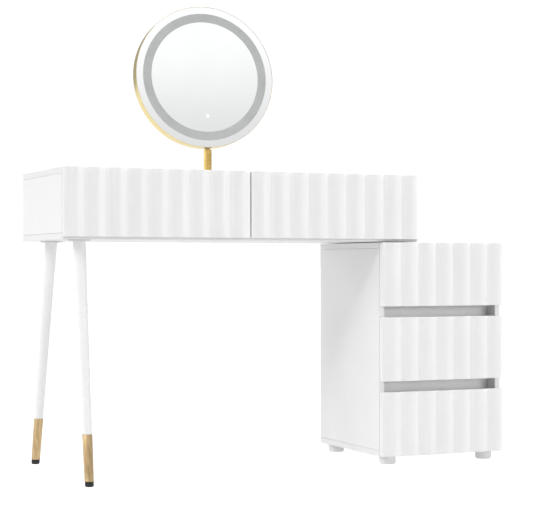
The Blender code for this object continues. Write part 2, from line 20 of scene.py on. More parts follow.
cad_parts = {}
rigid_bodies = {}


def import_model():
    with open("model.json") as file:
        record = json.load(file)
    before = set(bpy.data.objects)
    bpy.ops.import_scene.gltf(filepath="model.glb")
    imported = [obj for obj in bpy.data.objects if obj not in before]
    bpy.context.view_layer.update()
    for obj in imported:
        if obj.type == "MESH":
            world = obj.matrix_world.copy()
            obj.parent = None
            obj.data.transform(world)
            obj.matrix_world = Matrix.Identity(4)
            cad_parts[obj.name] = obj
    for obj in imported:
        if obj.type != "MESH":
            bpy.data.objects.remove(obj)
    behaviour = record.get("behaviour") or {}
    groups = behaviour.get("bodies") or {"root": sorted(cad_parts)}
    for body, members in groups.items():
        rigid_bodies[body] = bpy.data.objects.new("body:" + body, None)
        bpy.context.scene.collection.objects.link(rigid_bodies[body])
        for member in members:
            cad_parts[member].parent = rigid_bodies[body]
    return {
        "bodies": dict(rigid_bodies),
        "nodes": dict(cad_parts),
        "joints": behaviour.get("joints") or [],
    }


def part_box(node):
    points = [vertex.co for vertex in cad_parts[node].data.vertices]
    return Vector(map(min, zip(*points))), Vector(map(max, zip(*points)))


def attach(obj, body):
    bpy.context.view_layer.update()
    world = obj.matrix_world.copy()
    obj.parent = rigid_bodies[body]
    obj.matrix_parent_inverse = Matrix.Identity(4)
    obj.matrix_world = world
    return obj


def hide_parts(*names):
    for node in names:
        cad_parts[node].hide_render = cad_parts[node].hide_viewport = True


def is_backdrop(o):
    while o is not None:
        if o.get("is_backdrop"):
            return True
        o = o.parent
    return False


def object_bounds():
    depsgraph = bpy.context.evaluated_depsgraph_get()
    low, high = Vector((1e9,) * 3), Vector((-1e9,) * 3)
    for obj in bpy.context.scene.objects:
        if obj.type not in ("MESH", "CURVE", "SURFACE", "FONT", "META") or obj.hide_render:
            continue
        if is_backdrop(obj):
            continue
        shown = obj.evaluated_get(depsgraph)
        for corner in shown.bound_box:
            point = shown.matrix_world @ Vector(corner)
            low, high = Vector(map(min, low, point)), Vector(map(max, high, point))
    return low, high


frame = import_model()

cad_low, cad_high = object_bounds()
print("size in metres:", [round(v, 4) for v in cad_high - cad_low])

# %% [markdown]
# ## Where the viewer stands
#
# The table is seen from a little left of its front, from about the height of the sitter's
# knees, through a long lens. A long lens keeps upright edges parallel, as a catalogue
# picture does. A camera turned with Euler angles is the plainest way: 90 degrees about X
# makes it level, and the turn about Z aims it.

# %% Camera
STAND = (-1.66714, -3.74031, 0.51339)
LENS = 102.79
VIEW_TURN = 0.42297
VIEW_RISE = 0.00867

camera = bpy.data.objects.new("viewer", bpy.data.cameras.new("viewer"))
bpy.context.scene.collection.objects.link(camera)
camera.data.lens = LENS
camera.location = STAND
camera.rotation_euler = (math.pi / 2 + VIEW_RISE, 0.0, -VIEW_TURN)
bpy.context.scene.camera = camera
print("camera at", tuple(round(v, 3) for v in camera.location))

# %% [markdown]
# ## A small helper for node trees
#
# Every material and every Geometry Nodes tree below is a chain of nodes. One helper adds
# a node, sets its options, and fills its inputs: a plain value is typed into the socket,
# and another node's output is linked to it. Trees then read from top to bottom.


# %% Adding nodes
def add_node(tree, kind, inputs=None, **options):
    """Adds a node. An input's value is a number, a colour or another node's output."""
    node = tree.nodes.new(kind)
    for option, value in options.items():
        setattr(node, option, value)
    for socket, value in (inputs or {}).items():
        if isinstance(value, bpy.types.NodeSocket):
            tree.links.new(value, node.inputs[socket])
        else:
            node.inputs[socket].default_value = value
    return node


def node_out(tree, kind, inputs=None, **options):
    """The first output of a new node."""
    return add_node(tree, kind, inputs, **options).outputs[0]


def sum_of(tree, operation, a, b=0.0):
    """A Math node's output."""
    inputs = {0: a} if operation == "FRACT" else {0: a, 1: b}
    return node_out(tree, "ShaderNodeMath", inputs, operation=operation)


def spread(tree, value, from_low, from_high, to_low, to_high, smooth=False):
    """A Map Range node's output: value taken from one range to another, and clamped."""
    kind = "SMOOTHSTEP" if smooth else "LINEAR"
    inputs = {0: value, 1: from_low, 2: from_high, 3: to_low, 4: to_high}
    return node_out(tree, "ShaderNodeMapRange", inputs, interpolation_type=kind)


print("node helpers ready")

# %% [markdown]
# ## The room
#
# A white studio has a pale lit floor that runs up to white walls, and large soft lamps.
# The world is the walls, and it can be three things at once. The camera sees plain
# white. Matt surfaces get a low even light, so that the lamps can shape the flutes. Shiny
# pieces see walls that are dim behind the table, and in front grow brighter in two
# steps, because glass and gold only look right when they have something to show.

# %% Walls
WALL_FILL = 0.435
WALL_SEEN = 1.05
BEHIND_TONE = 0.45
KNEE_TONE = 0.36
LOW_FRONT_TONE = 0.80
HIGH_FRONT_TONE = 1.07
KNEE_STEP = (0.10, 0.22)  # how steeply up a shiny piece looks, from level 0 to upright 1
HIGH_STEP = (0.238, 0.312)
SIDE_STEP = (0.35, -0.35)  # from behind the table to in front of it

world = bpy.data.worlds.new("studio_walls")
bpy.context.scene.world = world
world.use_nodes = True
walls = world.node_tree
walls.nodes.clear()
heading = add_node(walls, "ShaderNodeTexCoord").outputs["Generated"]
axes = add_node(walls, "ShaderNodeSeparateXYZ", {0: heading}).outputs
knee = spread(walls, axes[2], *KNEE_STEP, KNEE_TONE, LOW_FRONT_TONE, smooth=True)
step_up = HIGH_FRONT_TONE - LOW_FRONT_TONE
above = spread(walls, axes[2], *HIGH_STEP, 0.0, step_up, smooth=True)
rise = sum_of(walls, "ADD", knee, above)
in_front = spread(walls, axes[1], *SIDE_STEP, 0.0, 1.0, smooth=True)
shine = node_out(walls, "ShaderNodeMix", {0: in_front, 2: BEHIND_TONE, 3: rise})
rays = add_node(walls, "ShaderNodeLightPath").outputs
matt_or_shine = node_out(walls, "ShaderNodeMix", {0: rays["Is Glossy Ray"], 2: WALL_FILL, 3: shine})
strength = node_out(
    walls, "ShaderNodeMix", {0: rays["Is Camera Ray"], 2: matt_or_shine, 3: WALL_SEEN}
)
white = add_node(walls, "ShaderNodeBackground", {0: (1, 1, 1, 1), 1: strength})
room = add_node(walls, "ShaderNodeOutputWorld")
walls.links.new(white.outputs[0], room.inputs["Surface"])
bpy.context.scene.view_settings.view_transform = "Standard"
print("walls light matt surfaces at", WALL_FILL)

# %% [markdown]
# Soft daylight-like lamps are easiest to place by heading and height alone. A sun lamp
# does that, and its angle sets how soft it is. A low lamp on the right grazes the fronts
# and draws the flutes, and two weaker ones fill in from the front. Three broad ones on
# the left light the side panels, and a narrower one there throws the slanting shadow of
# the desk onto the side of the pedestal. The last one looks into the finger slots.

# %% Lamps
LAMPS = {
    # name: (heading from the front in degrees, height in degrees, strength, softness)
    "right_grazing": (90, 10, 2.10, 28),
    "right_front": (60, 40, 0.62, 28),
    "front_low": (28, 5, 0.56, 20),
    "left_front": (-60, 40, 0.57, 28),
    "left_high": (-90, 40, 0.70, 28),
    "left_behind": (-118, 10, 0.50, 28),
    "left_narrow": (-67, 26, 0.32, 10),
    "into_the_slots": (12, 4, 0.50, 20),
}

for name, (turn, height, power, softness) in LAMPS.items():
    lamp = bpy.data.objects.new(name, bpy.data.lights.new(name, "SUN"))
    bpy.context.scene.collection.objects.link(lamp)
    lamp.data.energy, lamp.data.angle = power, math.radians(softness)
    a, e = math.radians(turn), math.radians(height)
    source = Vector((math.sin(a) * math.cos(e), -math.cos(a) * math.cos(e), math.sin(e)))
    lamp.rotation_euler = source.to_track_quat("Z", "Y").to_euler()
    print(name, "from", turn, "degrees, strength", power)

# %% [markdown]
# ## Surface effects that several finishes share
#
# Real finishes are never one even colour. Four effects turn up again and again on this
# table, so each is built once as a shader node group and placed in every finish with its
# own values: the faint ripple of sprayed lacquer, edges that hands have rubbed, lines
# left by brushing or turning metal, and the soft patches left by wiping and handling.
# A group only puts out masks and heights. The shader itself stays in the material.


# %% Node groups for the shared effects
def new_group(name, inputs, outputs):
    """A shader node group with number or vector sockets. Returns its tree and its ends."""
    group = bpy.data.node_groups.new(name, "ShaderNodeTree")
    for title, value in inputs.items():
        kind = "NodeSocketVector" if value is None else "NodeSocketFloat"
        socket = group.interface.new_socket(title, in_out="INPUT", socket_type=kind)
        if value is not None:
            socket.default_value = value
    for title in outputs:
        group.interface.new_socket(title, in_out="OUTPUT", socket_type="NodeSocketFloat")
    start = group.nodes.new("NodeGroupInput").outputs
    end = group.nodes.new("NodeGroupOutput").inputs
    return group, start, end


def noise_of(tree, vector, scale, detail=2.0, roughness=0.5):
    inputs = {"Vector": vector, "Scale": scale, "Detail": detail, "Roughness": roughness}
    return node_out(tree, "ShaderNodeTexNoise", inputs)


# sprayed ripple: a slow wave with a fine one on it
ripple, start, end = new_group("sprayed_ripple", {"Vector": None, "Scale": 260.0}, ["Height"])
slow = noise_of(ripple, start["Vector"], start["Scale"], 1.0)
fine_scale = sum_of(ripple, "MULTIPLY", start["Scale"], 4.3)
fine = noise_of(ripple, start["Vector"], fine_scale, 2.0)
both = sum_of(ripple, "MULTIPLY_ADD", fine, 0.35)
ripple.links.new(slow, both.node.inputs[2])
ripple.links.new(both, end["Height"])

# rubbed edges: where the surface turns within a small radius, broken up by noise
edges, start, end = new_group(
    "rubbed_edges", {"Vector": None, "Radius": 0.0015, "Broken": 60.0}, ["Mask"]
)
softened = add_node(edges, "ShaderNodeBevel", {"Radius": start["Radius"]}, samples=4)
true_normal = add_node(edges, "ShaderNodeNewGeometry").outputs["Normal"]
same = add_node(
    edges,
    "ShaderNodeVectorMath",
    {0: softened.outputs[0], 1: true_normal},
    operation="DOT_PRODUCT",
).outputs["Value"]
turned_away = spread(edges, same, 0.995, 0.80, 0.0, 1.0)
patchy = spread(edges, noise_of(edges, start["Vector"], start["Broken"], 3.0), 0.42, 0.62, 0.25, 1.0)
edges.links.new(sum_of(edges, "MULTIPLY", turned_away, patchy), end["Mask"])

# fine lines: noise drawn out along two axes by the Mapping node in front of the group
lines, start, end = new_group(
    "fine_lines", {"Vector": None, "Scale": 40.0}, ["Height", "Streak"]
)
line_noise = noise_of(lines, start["Vector"], start["Scale"], 3.0, 0.65)
lines.links.new(line_noise, end["Height"])
slow_scale = sum_of(lines, "MULTIPLY", start["Scale"], 0.12)
streak = noise_of(lines, start["Vector"], slow_scale, 1.0)
lines.links.new(spread(lines, streak, 0.35, 0.65, 0.0, 1.0), end["Streak"])

# handled patches: wide soft clouds with a few smaller touches in them
patches, start, end = new_group("handled_patches", {"Vector": None, "Scale": 7.0}, ["Mask"])
wide = noise_of(patches, start["Vector"], start["Scale"], 2.0)
touch_scale = sum_of(patches, "MULTIPLY", start["Scale"], 9.0)
small = noise_of(patches, start["Vector"], touch_scale, 2.0)
mixed_up = sum_of(patches, "MULTIPLY_ADD", small, 0.30)
patches.links.new(wide, mixed_up.node.inputs[2])
patches.links.new(spread(patches, mixed_up, 0.45, 0.85, 0.0, 1.0), end["Mask"])
print("shared effects:", [g.name for g in bpy.data.node_groups])

# %% [markdown]
# ## White board finishes
#
# The boards are chipboard with a white foil, their edges closed with a plastic band, and
# the fluted fronts are shaped fibreboard sprayed with lacquer. All three are white with
# almost nothing to see, so what makes them look real is small: a tone that drifts by two
# percent or so, a ripple of a few hundredths of a millimetre, duller patches where hands
# go, and edges rubbed a little warmer. One function mixes these in different strengths,
# and it makes the enamel, the moulded plastic and the rubber too.


# %% Paint, foil and plastic
def new_finish(name, base, roughness, metallic=0.0):
    """An empty material with its shader and its Object coordinates."""
    material = bpy.data.materials.new(name)
    material.use_nodes = True
    material.diffuse_color = (*base, 1.0)
    tree = material.node_tree
    shader = tree.nodes["Principled BSDF"]
    shader.inputs["Base Color"].default_value = (*base, 1.0)
    shader.inputs["Roughness"].default_value = roughness
    shader.inputs["Metallic"].default_value = metallic
    here = add_node(tree, "ShaderNodeTexCoord").outputs["Object"]
    return material, tree, shader, here


def place_group(tree, group, inputs):
    """The outputs of a shared effect, placed in a finish."""
    return add_node(tree, "ShaderNodeGroup", inputs, node_tree=group).outputs


def two_tones(tree, mask, a, b):
    """A colour that goes from a to b with the mask."""
    node = add_node(tree, "ShaderNodeMix", {0: mask}, data_type="RGBA")
    for socket, value in ((6, a), (7, b)):
        if isinstance(value, bpy.types.NodeSocket):
            tree.links.new(value, node.inputs[socket])
        else:
            node.inputs[socket].default_value = (*value, 1.0)
    return node.outputs[2]


def raise_surface(tree, shader, height, depth):
    """Feeds a height through a Bump node to the shader."""
    inputs = {"Height": height, "Distance": depth, "Strength": 1.0}
    bump = add_node(tree, "ShaderNodeBump", inputs)
    tree.links.new(bump.outputs[0], shader.inputs["Normal"])


PATCH_TONE = 0.975  # how bright a handled patch is, as a share of the rest


def coated(name, base, roughness, ripple_scale, ripple_depth, wear, wear_tone):
    """A sprayed, foiled or moulded finish."""
    material, tree, shader, here = new_finish(name, base, roughness)
    patch = place_group(tree, patches, {"Vector": here, "Scale": 7.0})["Mask"]
    worn = place_group(tree, edges, {"Vector": here})["Mask"]
    tone = two_tones(tree, patch, base, tuple(v * PATCH_TONE for v in base))
    worn_share = sum_of(tree, "MULTIPLY", worn, wear)
    colour = two_tones(tree, worn_share, tone, wear_tone)
    tree.links.new(colour, shader.inputs["Base Color"])
    rough = spread(tree, patch, 0.0, 1.0, roughness - 0.05, roughness + 0.07)
    tree.links.new(rough, shader.inputs["Roughness"])
    wave = place_group(tree, ripple, {"Vector": here, "Scale": ripple_scale})["Height"]
    raise_surface(tree, shader, wave, ripple_depth)
    return material


FOIL_WHITE = (0.862, 0.862, 0.864)
LACQUER_WHITE = (0.872, 0.872, 0.874)
BAND_WHITE = (0.835, 0.835, 0.835)
RUBBED_WHITE = (0.72, 0.70, 0.66)

COATS = {
    # name: (colour, roughness, ripple scale, ripple depth, wear, colour of the wear)
    "white_board_foil": (FOIL_WHITE, 0.42, 420.0, 0.00006, 0.25, RUBBED_WHITE),
    "white_edge_band": (BAND_WHITE, 0.35, 300.0, 0.00005, 0.35, RUBBED_WHITE),
    "fluted_lacquer": (LACQUER_WHITE, 0.36, 260.0, 0.00005, 0.18, RUBBED_WHITE),
    "drawer_foil": ((0.80, 0.80, 0.79), 0.52, 900.0, 0.00012, 0.30, (0.66, 0.62, 0.55)),
    # the rail foil is lighter than the boards' own white: painted light, standing in for light that does
    # not reach into the shaded finger slots
    "grey_rail_foil": ((0.95, 0.95, 0.95), 0.50, 420.0, 0.00006, 0.20, (0.70, 0.70, 0.68)),
    "white_leg_enamel": ((0.90, 0.90, 0.90), 0.30, 700.0, 0.00008, 0.08, (0.60, 0.58, 0.55)),
    "white_plate_enamel": ((0.80, 0.80, 0.80), 0.42, 900.0, 0.00012, 0.50, (0.50, 0.49, 0.47)),
    "pale_foot_plastic": ((0.84, 0.84, 0.84), 0.45, 1400.0, 0.00010, 0.45, (0.45, 0.45, 0.44)),
    "black_foot_rubber": ((0.010, 0.010, 0.011), 0.72, 1100.0, 0.00020, 0.40, (0.04, 0.04, 0.04)),
    "white_lamp_board": ((0.78, 0.79, 0.78), 0.40, 1200.0, 0.00005, 0.20, (0.60, 0.60, 0.58)),
}
coats = [coated(name, *values) for name, values in COATS.items()]
board_foil, edge_band, front_lacquer, drawer_foil, rail_foil = coats[:5]
leg_enamel, plate_enamel, foot_plastic, foot_rubber, lamp_board = coats[5:]
print("coated finishes made")

# %% [markdown]
# ## Metal finishes
#
# The rim, the post and the ferrules are plated gold over brushed steel, the runners are
# zinc plated, and the screws too. Plated metal shows the lines of whatever shaped it:
# rings around a turned post, strokes along a drawn channel. The lines come from noise
# that a Mapping node squeezes along one axis, turned to follow the piece. They move the
# roughness and the bump together, because a deeper scratch is also a duller one.


# %% Gold and zinc
def plated(name, base, low_tone, roughness, squeeze, line_depth, turn=(0, 0, 0), centre=(0, 0, 0)):
    """Brushed and plated metal. squeeze gives how much finer the lines are on each axis."""
    material, tree, shader, here = new_finish(name, base, roughness, 1.0)
    inputs = {"Vector": here, "Location": centre, "Rotation": turn}
    own = node_out(tree, "ShaderNodeMapping", inputs, vector_type="TEXTURE")
    drawn = node_out(tree, "ShaderNodeMapping", {"Vector": own, "Scale": squeeze})
    line = place_group(tree, lines, {"Vector": drawn})
    patch = place_group(tree, patches, {"Vector": here, "Scale": 16.0})["Mask"]
    worn = place_group(tree, edges, {"Vector": here, "Radius": 0.0009})["Mask"]
    streaky = two_tones(tree, line["Streak"], base, low_tone)
    worn_share = sum_of(tree, "MULTIPLY", worn, 0.35)
    bright = tuple(min(1.0, v * 1.18) for v in base)
    tree.links.new(two_tones(tree, worn_share, streaky, bright), shader.inputs["Base Color"])
    dull = sum_of(tree, "MULTIPLY_ADD", line["Height"], 0.16)
    tree.links.new(spread(tree, patch, 0.0, 1.0, roughness - 0.08, roughness), dull.node.inputs[2])
    tree.links.new(dull, shader.inputs["Roughness"])
    raise_surface(tree, shader, line["Height"], line_depth)
    return material


def spangled(name, base, roughness):
    """Zinc, which freezes in leaves of slightly different grey."""
    material, tree, shader, here = new_finish(name, base, roughness, 1.0)
    leaf = add_node(tree, "ShaderNodeTexVoronoi", {"Vector": here, "Scale": 220.0})
    grey = node_out(tree, "ShaderNodeSeparateColor", {0: leaf.outputs["Color"]})
    worn = place_group(tree, edges, {"Vector": here, "Radius": 0.0006})["Mask"]
    dark = tuple(v * 0.80 for v in base)
    tone = two_tones(tree, grey, base, dark)
    worn_share = sum_of(tree, "MULTIPLY", worn, 0.5)
    bright = tuple(min(1.0, v * 1.2) for v in base)
    tree.links.new(two_tones(tree, worn_share, tone, bright), shader.inputs["Base Color"])
    tree.links.new(spread(tree, grey, 0.0, 1.0, roughness, roughness + 0.16), shader.inputs["Roughness"])
    drawn = node_out(tree, "ShaderNodeMapping", {"Vector": here, "Scale": (60.0, 1.0, 60.0)})
    raise_surface(tree, shader, place_group(tree, lines, {"Vector": drawn})["Height"], 0.00004)
    return material


POST_GOLD = (0.82, 0.57, 0.20)
RIM_GOLD = (0.80, 0.68, 0.32)
FERRULE_GOLD = (0.56, 0.42, 0.24)

# the mirror head's own frame, from the joint it hangs on
joints = {joint["name"]: joint for joint in frame["joints"]}
PIVOT = Vector(joints["mirror_tilt"]["pos_m"])
SWIVEL_TURN = math.radians(-4.13)
HEAD_TILT = math.radians(5.09)
HEAD_LEAN = math.radians(-2.20)
swivel_frame = Matrix.Translation(PIVOT) @ Matrix.Rotation(SWIVEL_TURN, 4, "Z")
head_frame = (
    swivel_frame @ Matrix.Rotation(HEAD_LEAN, 4, "Y") @ Matrix.Rotation(-HEAD_TILT, 4, "X")
)
on_head = (tuple(head_frame.to_euler()), tuple(PIVOT))
tilt_axis = head_frame.to_3x3() @ Vector((1, 0, 0))
print("tilt axis", [round(v, 5) for v in tilt_axis], "joint", joints["mirror_tilt"]["axis"])

post_gold = plated("gold_post", POST_GOLD, (0.74, 0.51, 0.15), 0.26, (6, 6, 70), 0.00003)
rim_gold = plated("gold_rim", RIM_GOLD, (0.66, 0.53, 0.22), 0.28, (3, 60, 3), 0.00003, *on_head)
EDGE_GREY, EDGE_LOW = (0.58, 0.58, 0.57), (0.48, 0.48, 0.47)
rim_edge_grey = plated("grey_rim_edge", EDGE_GREY, EDGE_LOW, 0.34, (3, 60, 3), 0.00003, *on_head)
COVER_GOLD, COVER_LOW = (0.78, 0.62, 0.30), (0.70, 0.55, 0.26)
cover_gold = plated("gold_back_cover", COVER_GOLD, COVER_LOW, 0.38, (60, 3, 3), 0.00004, *on_head)
KNUCKLE_GOLD, KNUCKLE_LOW = (0.74, 0.56, 0.26), (0.62, 0.46, 0.20)
knuckle_gold = plated("gold_knuckle", KNUCKLE_GOLD, KNUCKLE_LOW, 0.30, (10, 10, 80), 0.00003)
ferrule_gold = plated("gold_ferrule", FERRULE_GOLD, (0.44, 0.31, 0.16), 0.34, (30, 30, 3), 0.00004)
runner_zinc = spangled("zinc_runner", (0.62, 0.63, 0.65), 0.30)
screw_zinc = spangled("zinc_screw", (0.66, 0.66, 0.66), 0.26)

# %% [markdown]
# ## Making a piece and handing it over
#
# A piece is a mesh whose place is in its own points, so its object sits at the origin,
# unturned. It rides on one body of the solid model, carries its finishes, and hides the
# plain solid it stands for. One function does all of that, so no piece can be left
# behind. A second one turns live modifiers into plain mesh.


# %% Handing a piece over
def plain_mesh(obj):
    """Replaces an object's mesh by what its modifiers make of it."""
    graph = bpy.context.evaluated_depsgraph_get()
    mesh = bpy.data.meshes.new_from_object(obj.evaluated_get(graph), depsgraph=graph)
    obj.modifiers.clear()
    obj.data = mesh
    return obj


def make_piece(name, mesh, finishes, body, stands_for=(), sharp=35):
    """Puts a finished mesh into the scene as a piece that rides on a body."""
    if isinstance(mesh, bmesh.types.BMesh):
        made = bpy.data.meshes.new(name)
        mesh.to_mesh(made)
        mesh.free()
        mesh = made
    mesh.name = name
    for finish in finishes:
        mesh.materials.append(finish)
    mesh.shade_smooth()
    mesh.set_sharp_from_angle(angle=math.radians(sharp))
    piece = bpy.data.objects.new(name, mesh)
    bpy.context.scene.collection.objects.link(piece)
    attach(piece, body)
    if stands_for:
        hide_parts(*stands_for)
    return piece


def even_out(piece):
    """Keeps flat faces flat next to their rounded edges."""
    step = piece.modifiers.new("even_normals", "WEIGHTED_NORMAL")
    step.keep_sharp = True
    return plain_mesh(piece)


print("hand-over helpers ready")

# %% [markdown]
# ## Boards
#
# Every flat panel of the desk and the pedestal is a 15 mm board, 9 mm at the back. A real
# one has its sharp corner taken off by the edge bander, and the band is a separate strip
# whose seam shows as a hair line. A cube with a small bevel gives the eased corner. The
# faces that look along the board's thickness take the foil, and the rest take the band.
# The size comes from the solid that the board stands for.

# %% Desk and pedestal boards
EASE = 0.0008
EASE_STEPS = 3


def eased_block(bm, low, high, ease):
    """Adds a block with rounded edges to bm, and gives the faces of its flat sides the
    first finish and those of its narrow sides the second."""
    size, middle = Vector(high) - Vector(low), (Vector(high) + Vector(low)) / 2
    before = set(bm.faces)
    made = bmesh.ops.create_cube(bm, size=1.0)["verts"]
    bmesh.ops.scale(bm, vec=size, verts=made)
    bmesh.ops.translate(bm, vec=middle, verts=made)
    rims = list({edge for vert in made for edge in vert.link_edges})
    bmesh.ops.bevel(
        bm, geom=rims, offset=ease, segments=EASE_STEPS, profile=0.5, affect="EDGES"
    )
    thin = min(range(3), key=lambda axis: size[axis])
    for face in set(bm.faces) - before:
        face.normal_update()
        face.material_index = 0 if abs(face.normal[thin]) > 0.95 else 1


def make_board(node, body, finishes=None, ease=EASE):
    bm = bmesh.new()
    low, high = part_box(node)
    eased_block(bm, low, high, ease)
    piece = make_piece(node + "_board", bm, finishes or (board_foil, edge_band), body, (node,))
    even_out(piece)
    return high - low


for body in ("desk", "pedestal"):
    names = ["top", "bottom", "left_side", "right_side", "back"]
    names += ["divider"] if body == "desk" else []
    for part in names:
        size = make_board(body + "_" + part, body)
        print(body, part, [round(v * 1000) for v in size], "mm")

# The rails take the foil painted lighter than the boards, as painted light in the shaded finger slots.
for rail in ("pedestal_rail_upper", "pedestal_rail_lower"):
    make_board(rail, "pedestal", (rail_foil, rail_foil))

# %% [markdown]
# ## Fluted fronts
#
# Each drawer has a 20 mm front with upright flutes, 52 or 53 mm apart: a broad rounded
# crest, then a narrower rounded hollow, over and over. A shape that follows a rule is
# just what Geometry Nodes is for. The tree starts from a block that is cut finely along
# its width, works out each point's place within its flute, and pushes the front face in
# by two parabolas that share their slope where they meet. Sizes are inputs, so one tree
# makes all five fronts. A live bevel rounds the outer edges before the mesh is made plain.

# %% The fluting tree
FLUTE_DEPTH = 0.0065
CREST_SHARE = 0.62
DESK_START = 0.09
PEDESTAL_START = 0.0
STEPS_PER_FLUTE = 24
FRONT_EASE = 0.0012


def new_tree(name, inputs):
    """A Geometry Nodes tree with named inputs. Returns the tree, its start and its end."""
    tree = bpy.data.node_groups.new(name, "GeometryNodeTree")
    for title, (kind, value) in inputs.items():
        socket = tree.interface.new_socket(title, in_out="INPUT", socket_type="NodeSocket" + kind)
        if value is not None:
            socket.default_value = value
    tree.interface.new_socket("Geometry", in_out="OUTPUT", socket_type="NodeSocketGeometry")
    start = tree.nodes.new("NodeGroupInput").outputs
    end = tree.nodes.new("NodeGroupOutput").inputs
    return tree, start, end


def finish_tree(tree, geometry, finish, end):
    """The last two steps of every tree: real geometry, and its finish."""
    real = node_out(tree, "GeometryNodeRealizeInstances", {0: geometry})
    inputs = {"Geometry": real, "Material": finish}
    painted = node_out(tree, "GeometryNodeSetMaterial", inputs)
    tree.links.new(painted, end["Geometry"])


fluting, start, end = new_tree(
    "fluted_front",
    {
        "Width": ("Float", 0.4785),
        "Thickness": ("Float", 0.020),
        "Height": ("Float", 0.166),
        "Centre": ("Vector", (0.0, 0.0, 0.0)),
        "Flutes": ("Int", 9),
        "Steps": ("Int", STEPS_PER_FLUTE),
        "Depth": ("Float", FLUTE_DEPTH),
        "Crest share": ("Float", CREST_SHARE),
        "Start": ("Float", 0.0),
        "Finish": ("Material", None),
    },
)
across = sum_of(fluting, "MULTIPLY", start["Flutes"], start["Steps"])
size = node_out(
    fluting, "ShaderNodeCombineXYZ", {0: start["Width"], 1: start["Thickness"], 2: start["Height"]}
)
block = add_node(fluting, "GeometryNodeMeshCube", {0: size, 1: sum_of(fluting, "ADD", across, 1.0)})
block.inputs["Vertices Y"].default_value = 2
block.inputs["Vertices Z"].default_value = 2
where = node_out(fluting, "GeometryNodeInputPosition")
point = add_node(fluting, "ShaderNodeSeparateXYZ", {0: where}).outputs
share_of_width = sum_of(fluting, "ADD", sum_of(fluting, "DIVIDE", point[0], start["Width"]), 0.5)
count_in = sum_of(fluting, "MULTIPLY", share_of_width, start["Flutes"])
place = sum_of(fluting, "FRACT", sum_of(fluting, "ADD", count_in, start["Start"]))
hollow = sum_of(fluting, "SUBTRACT", 1.0, start["Crest share"])
crest_rise = sum_of(fluting, "MULTIPLY", start["Depth"], start["Crest share"])
hollow_drop = sum_of(fluting, "SUBTRACT", start["Depth"], crest_rise)


def parabola(place, low, width):
    """The square of how far place is from the middle of a stretch, as a share of its half."""
    share = sum_of(fluting, "DIVIDE", sum_of(fluting, "SUBTRACT", place, low), width)
    s = sum_of(fluting, "SUBTRACT", sum_of(fluting, "MULTIPLY", share, 2.0), 1.0)
    return sum_of(fluting, "MULTIPLY", s, s)


in_hollow = sum_of(fluting, "SUBTRACT", 1.0, parabola(place, 0.0, hollow))
hollow_depth = sum_of(fluting, "ADD", crest_rise, sum_of(fluting, "MULTIPLY", hollow_drop, in_hollow))
crest_depth = sum_of(fluting, "MULTIPLY", crest_rise, parabola(place, hollow, start["Crest share"]))
is_hollow = sum_of(fluting, "LESS_THAN", place, hollow)
depth = node_out(fluting, "ShaderNodeMix", {0: is_hollow, 2: crest_depth, 3: hollow_depth})
on_face = sum_of(fluting, "LESS_THAN", point[1], 0.0)
pushed_in = sum_of(fluting, "MULTIPLY", depth, on_face)
push = node_out(fluting, "ShaderNodeCombineXYZ", {1: pushed_in})
fluted = node_out(
    fluting, "GeometryNodeSetPosition", {"Geometry": block.outputs[0], "Offset": push}
)
moved = node_out(
    fluting, "GeometryNodeTransform", {"Geometry": fluted, "Translation": start["Centre"]}
)
finish_tree(fluting, moved, start["Finish"], end)
print("fluting tree has", len(fluting.nodes), "nodes")


# %% Making the five fronts
def run_tree(tree, values, source=None, bevel=0.0):
    """Runs a tree on a source mesh and returns the plain mesh that comes out."""
    base = bpy.data.objects.new(tree.name, source or bpy.data.meshes.new(tree.name))
    bpy.context.scene.collection.objects.link(base)
    step = base.modifiers.new(tree.name, "NODES")
    step.node_group = tree
    for socket in tree.interface.items_tree:
        if socket.in_out == "INPUT" and socket.name in values:
            step[socket.identifier] = values[socket.name]
    if bevel:
        rounding = base.modifiers.new("eased_edges", "BEVEL")
        rounding.width, rounding.segments = bevel, EASE_STEPS
        rounding.limit_method, rounding.angle_limit = "ANGLE", math.radians(50)
    mesh = plain_mesh(base).data
    bpy.data.objects.remove(base)
    return mesh


DRAWERS = {
    "desk_drawer_left": (9, DESK_START),
    "desk_drawer_right": (9, DESK_START),
    "pedestal_drawer_top": (7, PEDESTAL_START),
    "pedestal_drawer_middle": (7, PEDESTAL_START),
    "pedestal_drawer_bottom": (7, PEDESTAL_START),
}

for drawer, (flutes, begins_at) in DRAWERS.items():
    low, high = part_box(drawer + "_front")
    width, thickness, height = high - low
    values = {
        "Width": width,
        "Thickness": thickness,
        "Height": height,
        "Centre": tuple((low + high) / 2),
        "Flutes": flutes,
        "Steps": STEPS_PER_FLUTE,
        "Depth": FLUTE_DEPTH,
        "Crest share": CREST_SHARE,
        "Start": begins_at,
        "Finish": front_lacquer,
    }
    mesh = run_tree(fluting, values, bevel=FRONT_EASE)
    mesh.update()
    stands_for = (drawer + "_front",)
    even_out(make_piece(drawer + "_fluted_face", mesh, (), drawer, stands_for, 40))
    print(drawer, flutes, "flutes,", len(mesh.polygons), "faces")

# %% [markdown]
# ## Drawer boxes
#
# Behind each front is a box of 12 mm boards, open at the top, with a thin floor that
# lies between the walls. The sides run the full depth, and the front and back walls
# stand between them. Four eased blocks with hair gaps between them read as four boards,
# which one hollowed block would not. The floor is a piece of its own.

# %% Boxes and floors
DRAWER_WALL = 0.012
JOINT_GAP = 0.0002
FLOOR_EASE = 0.0004

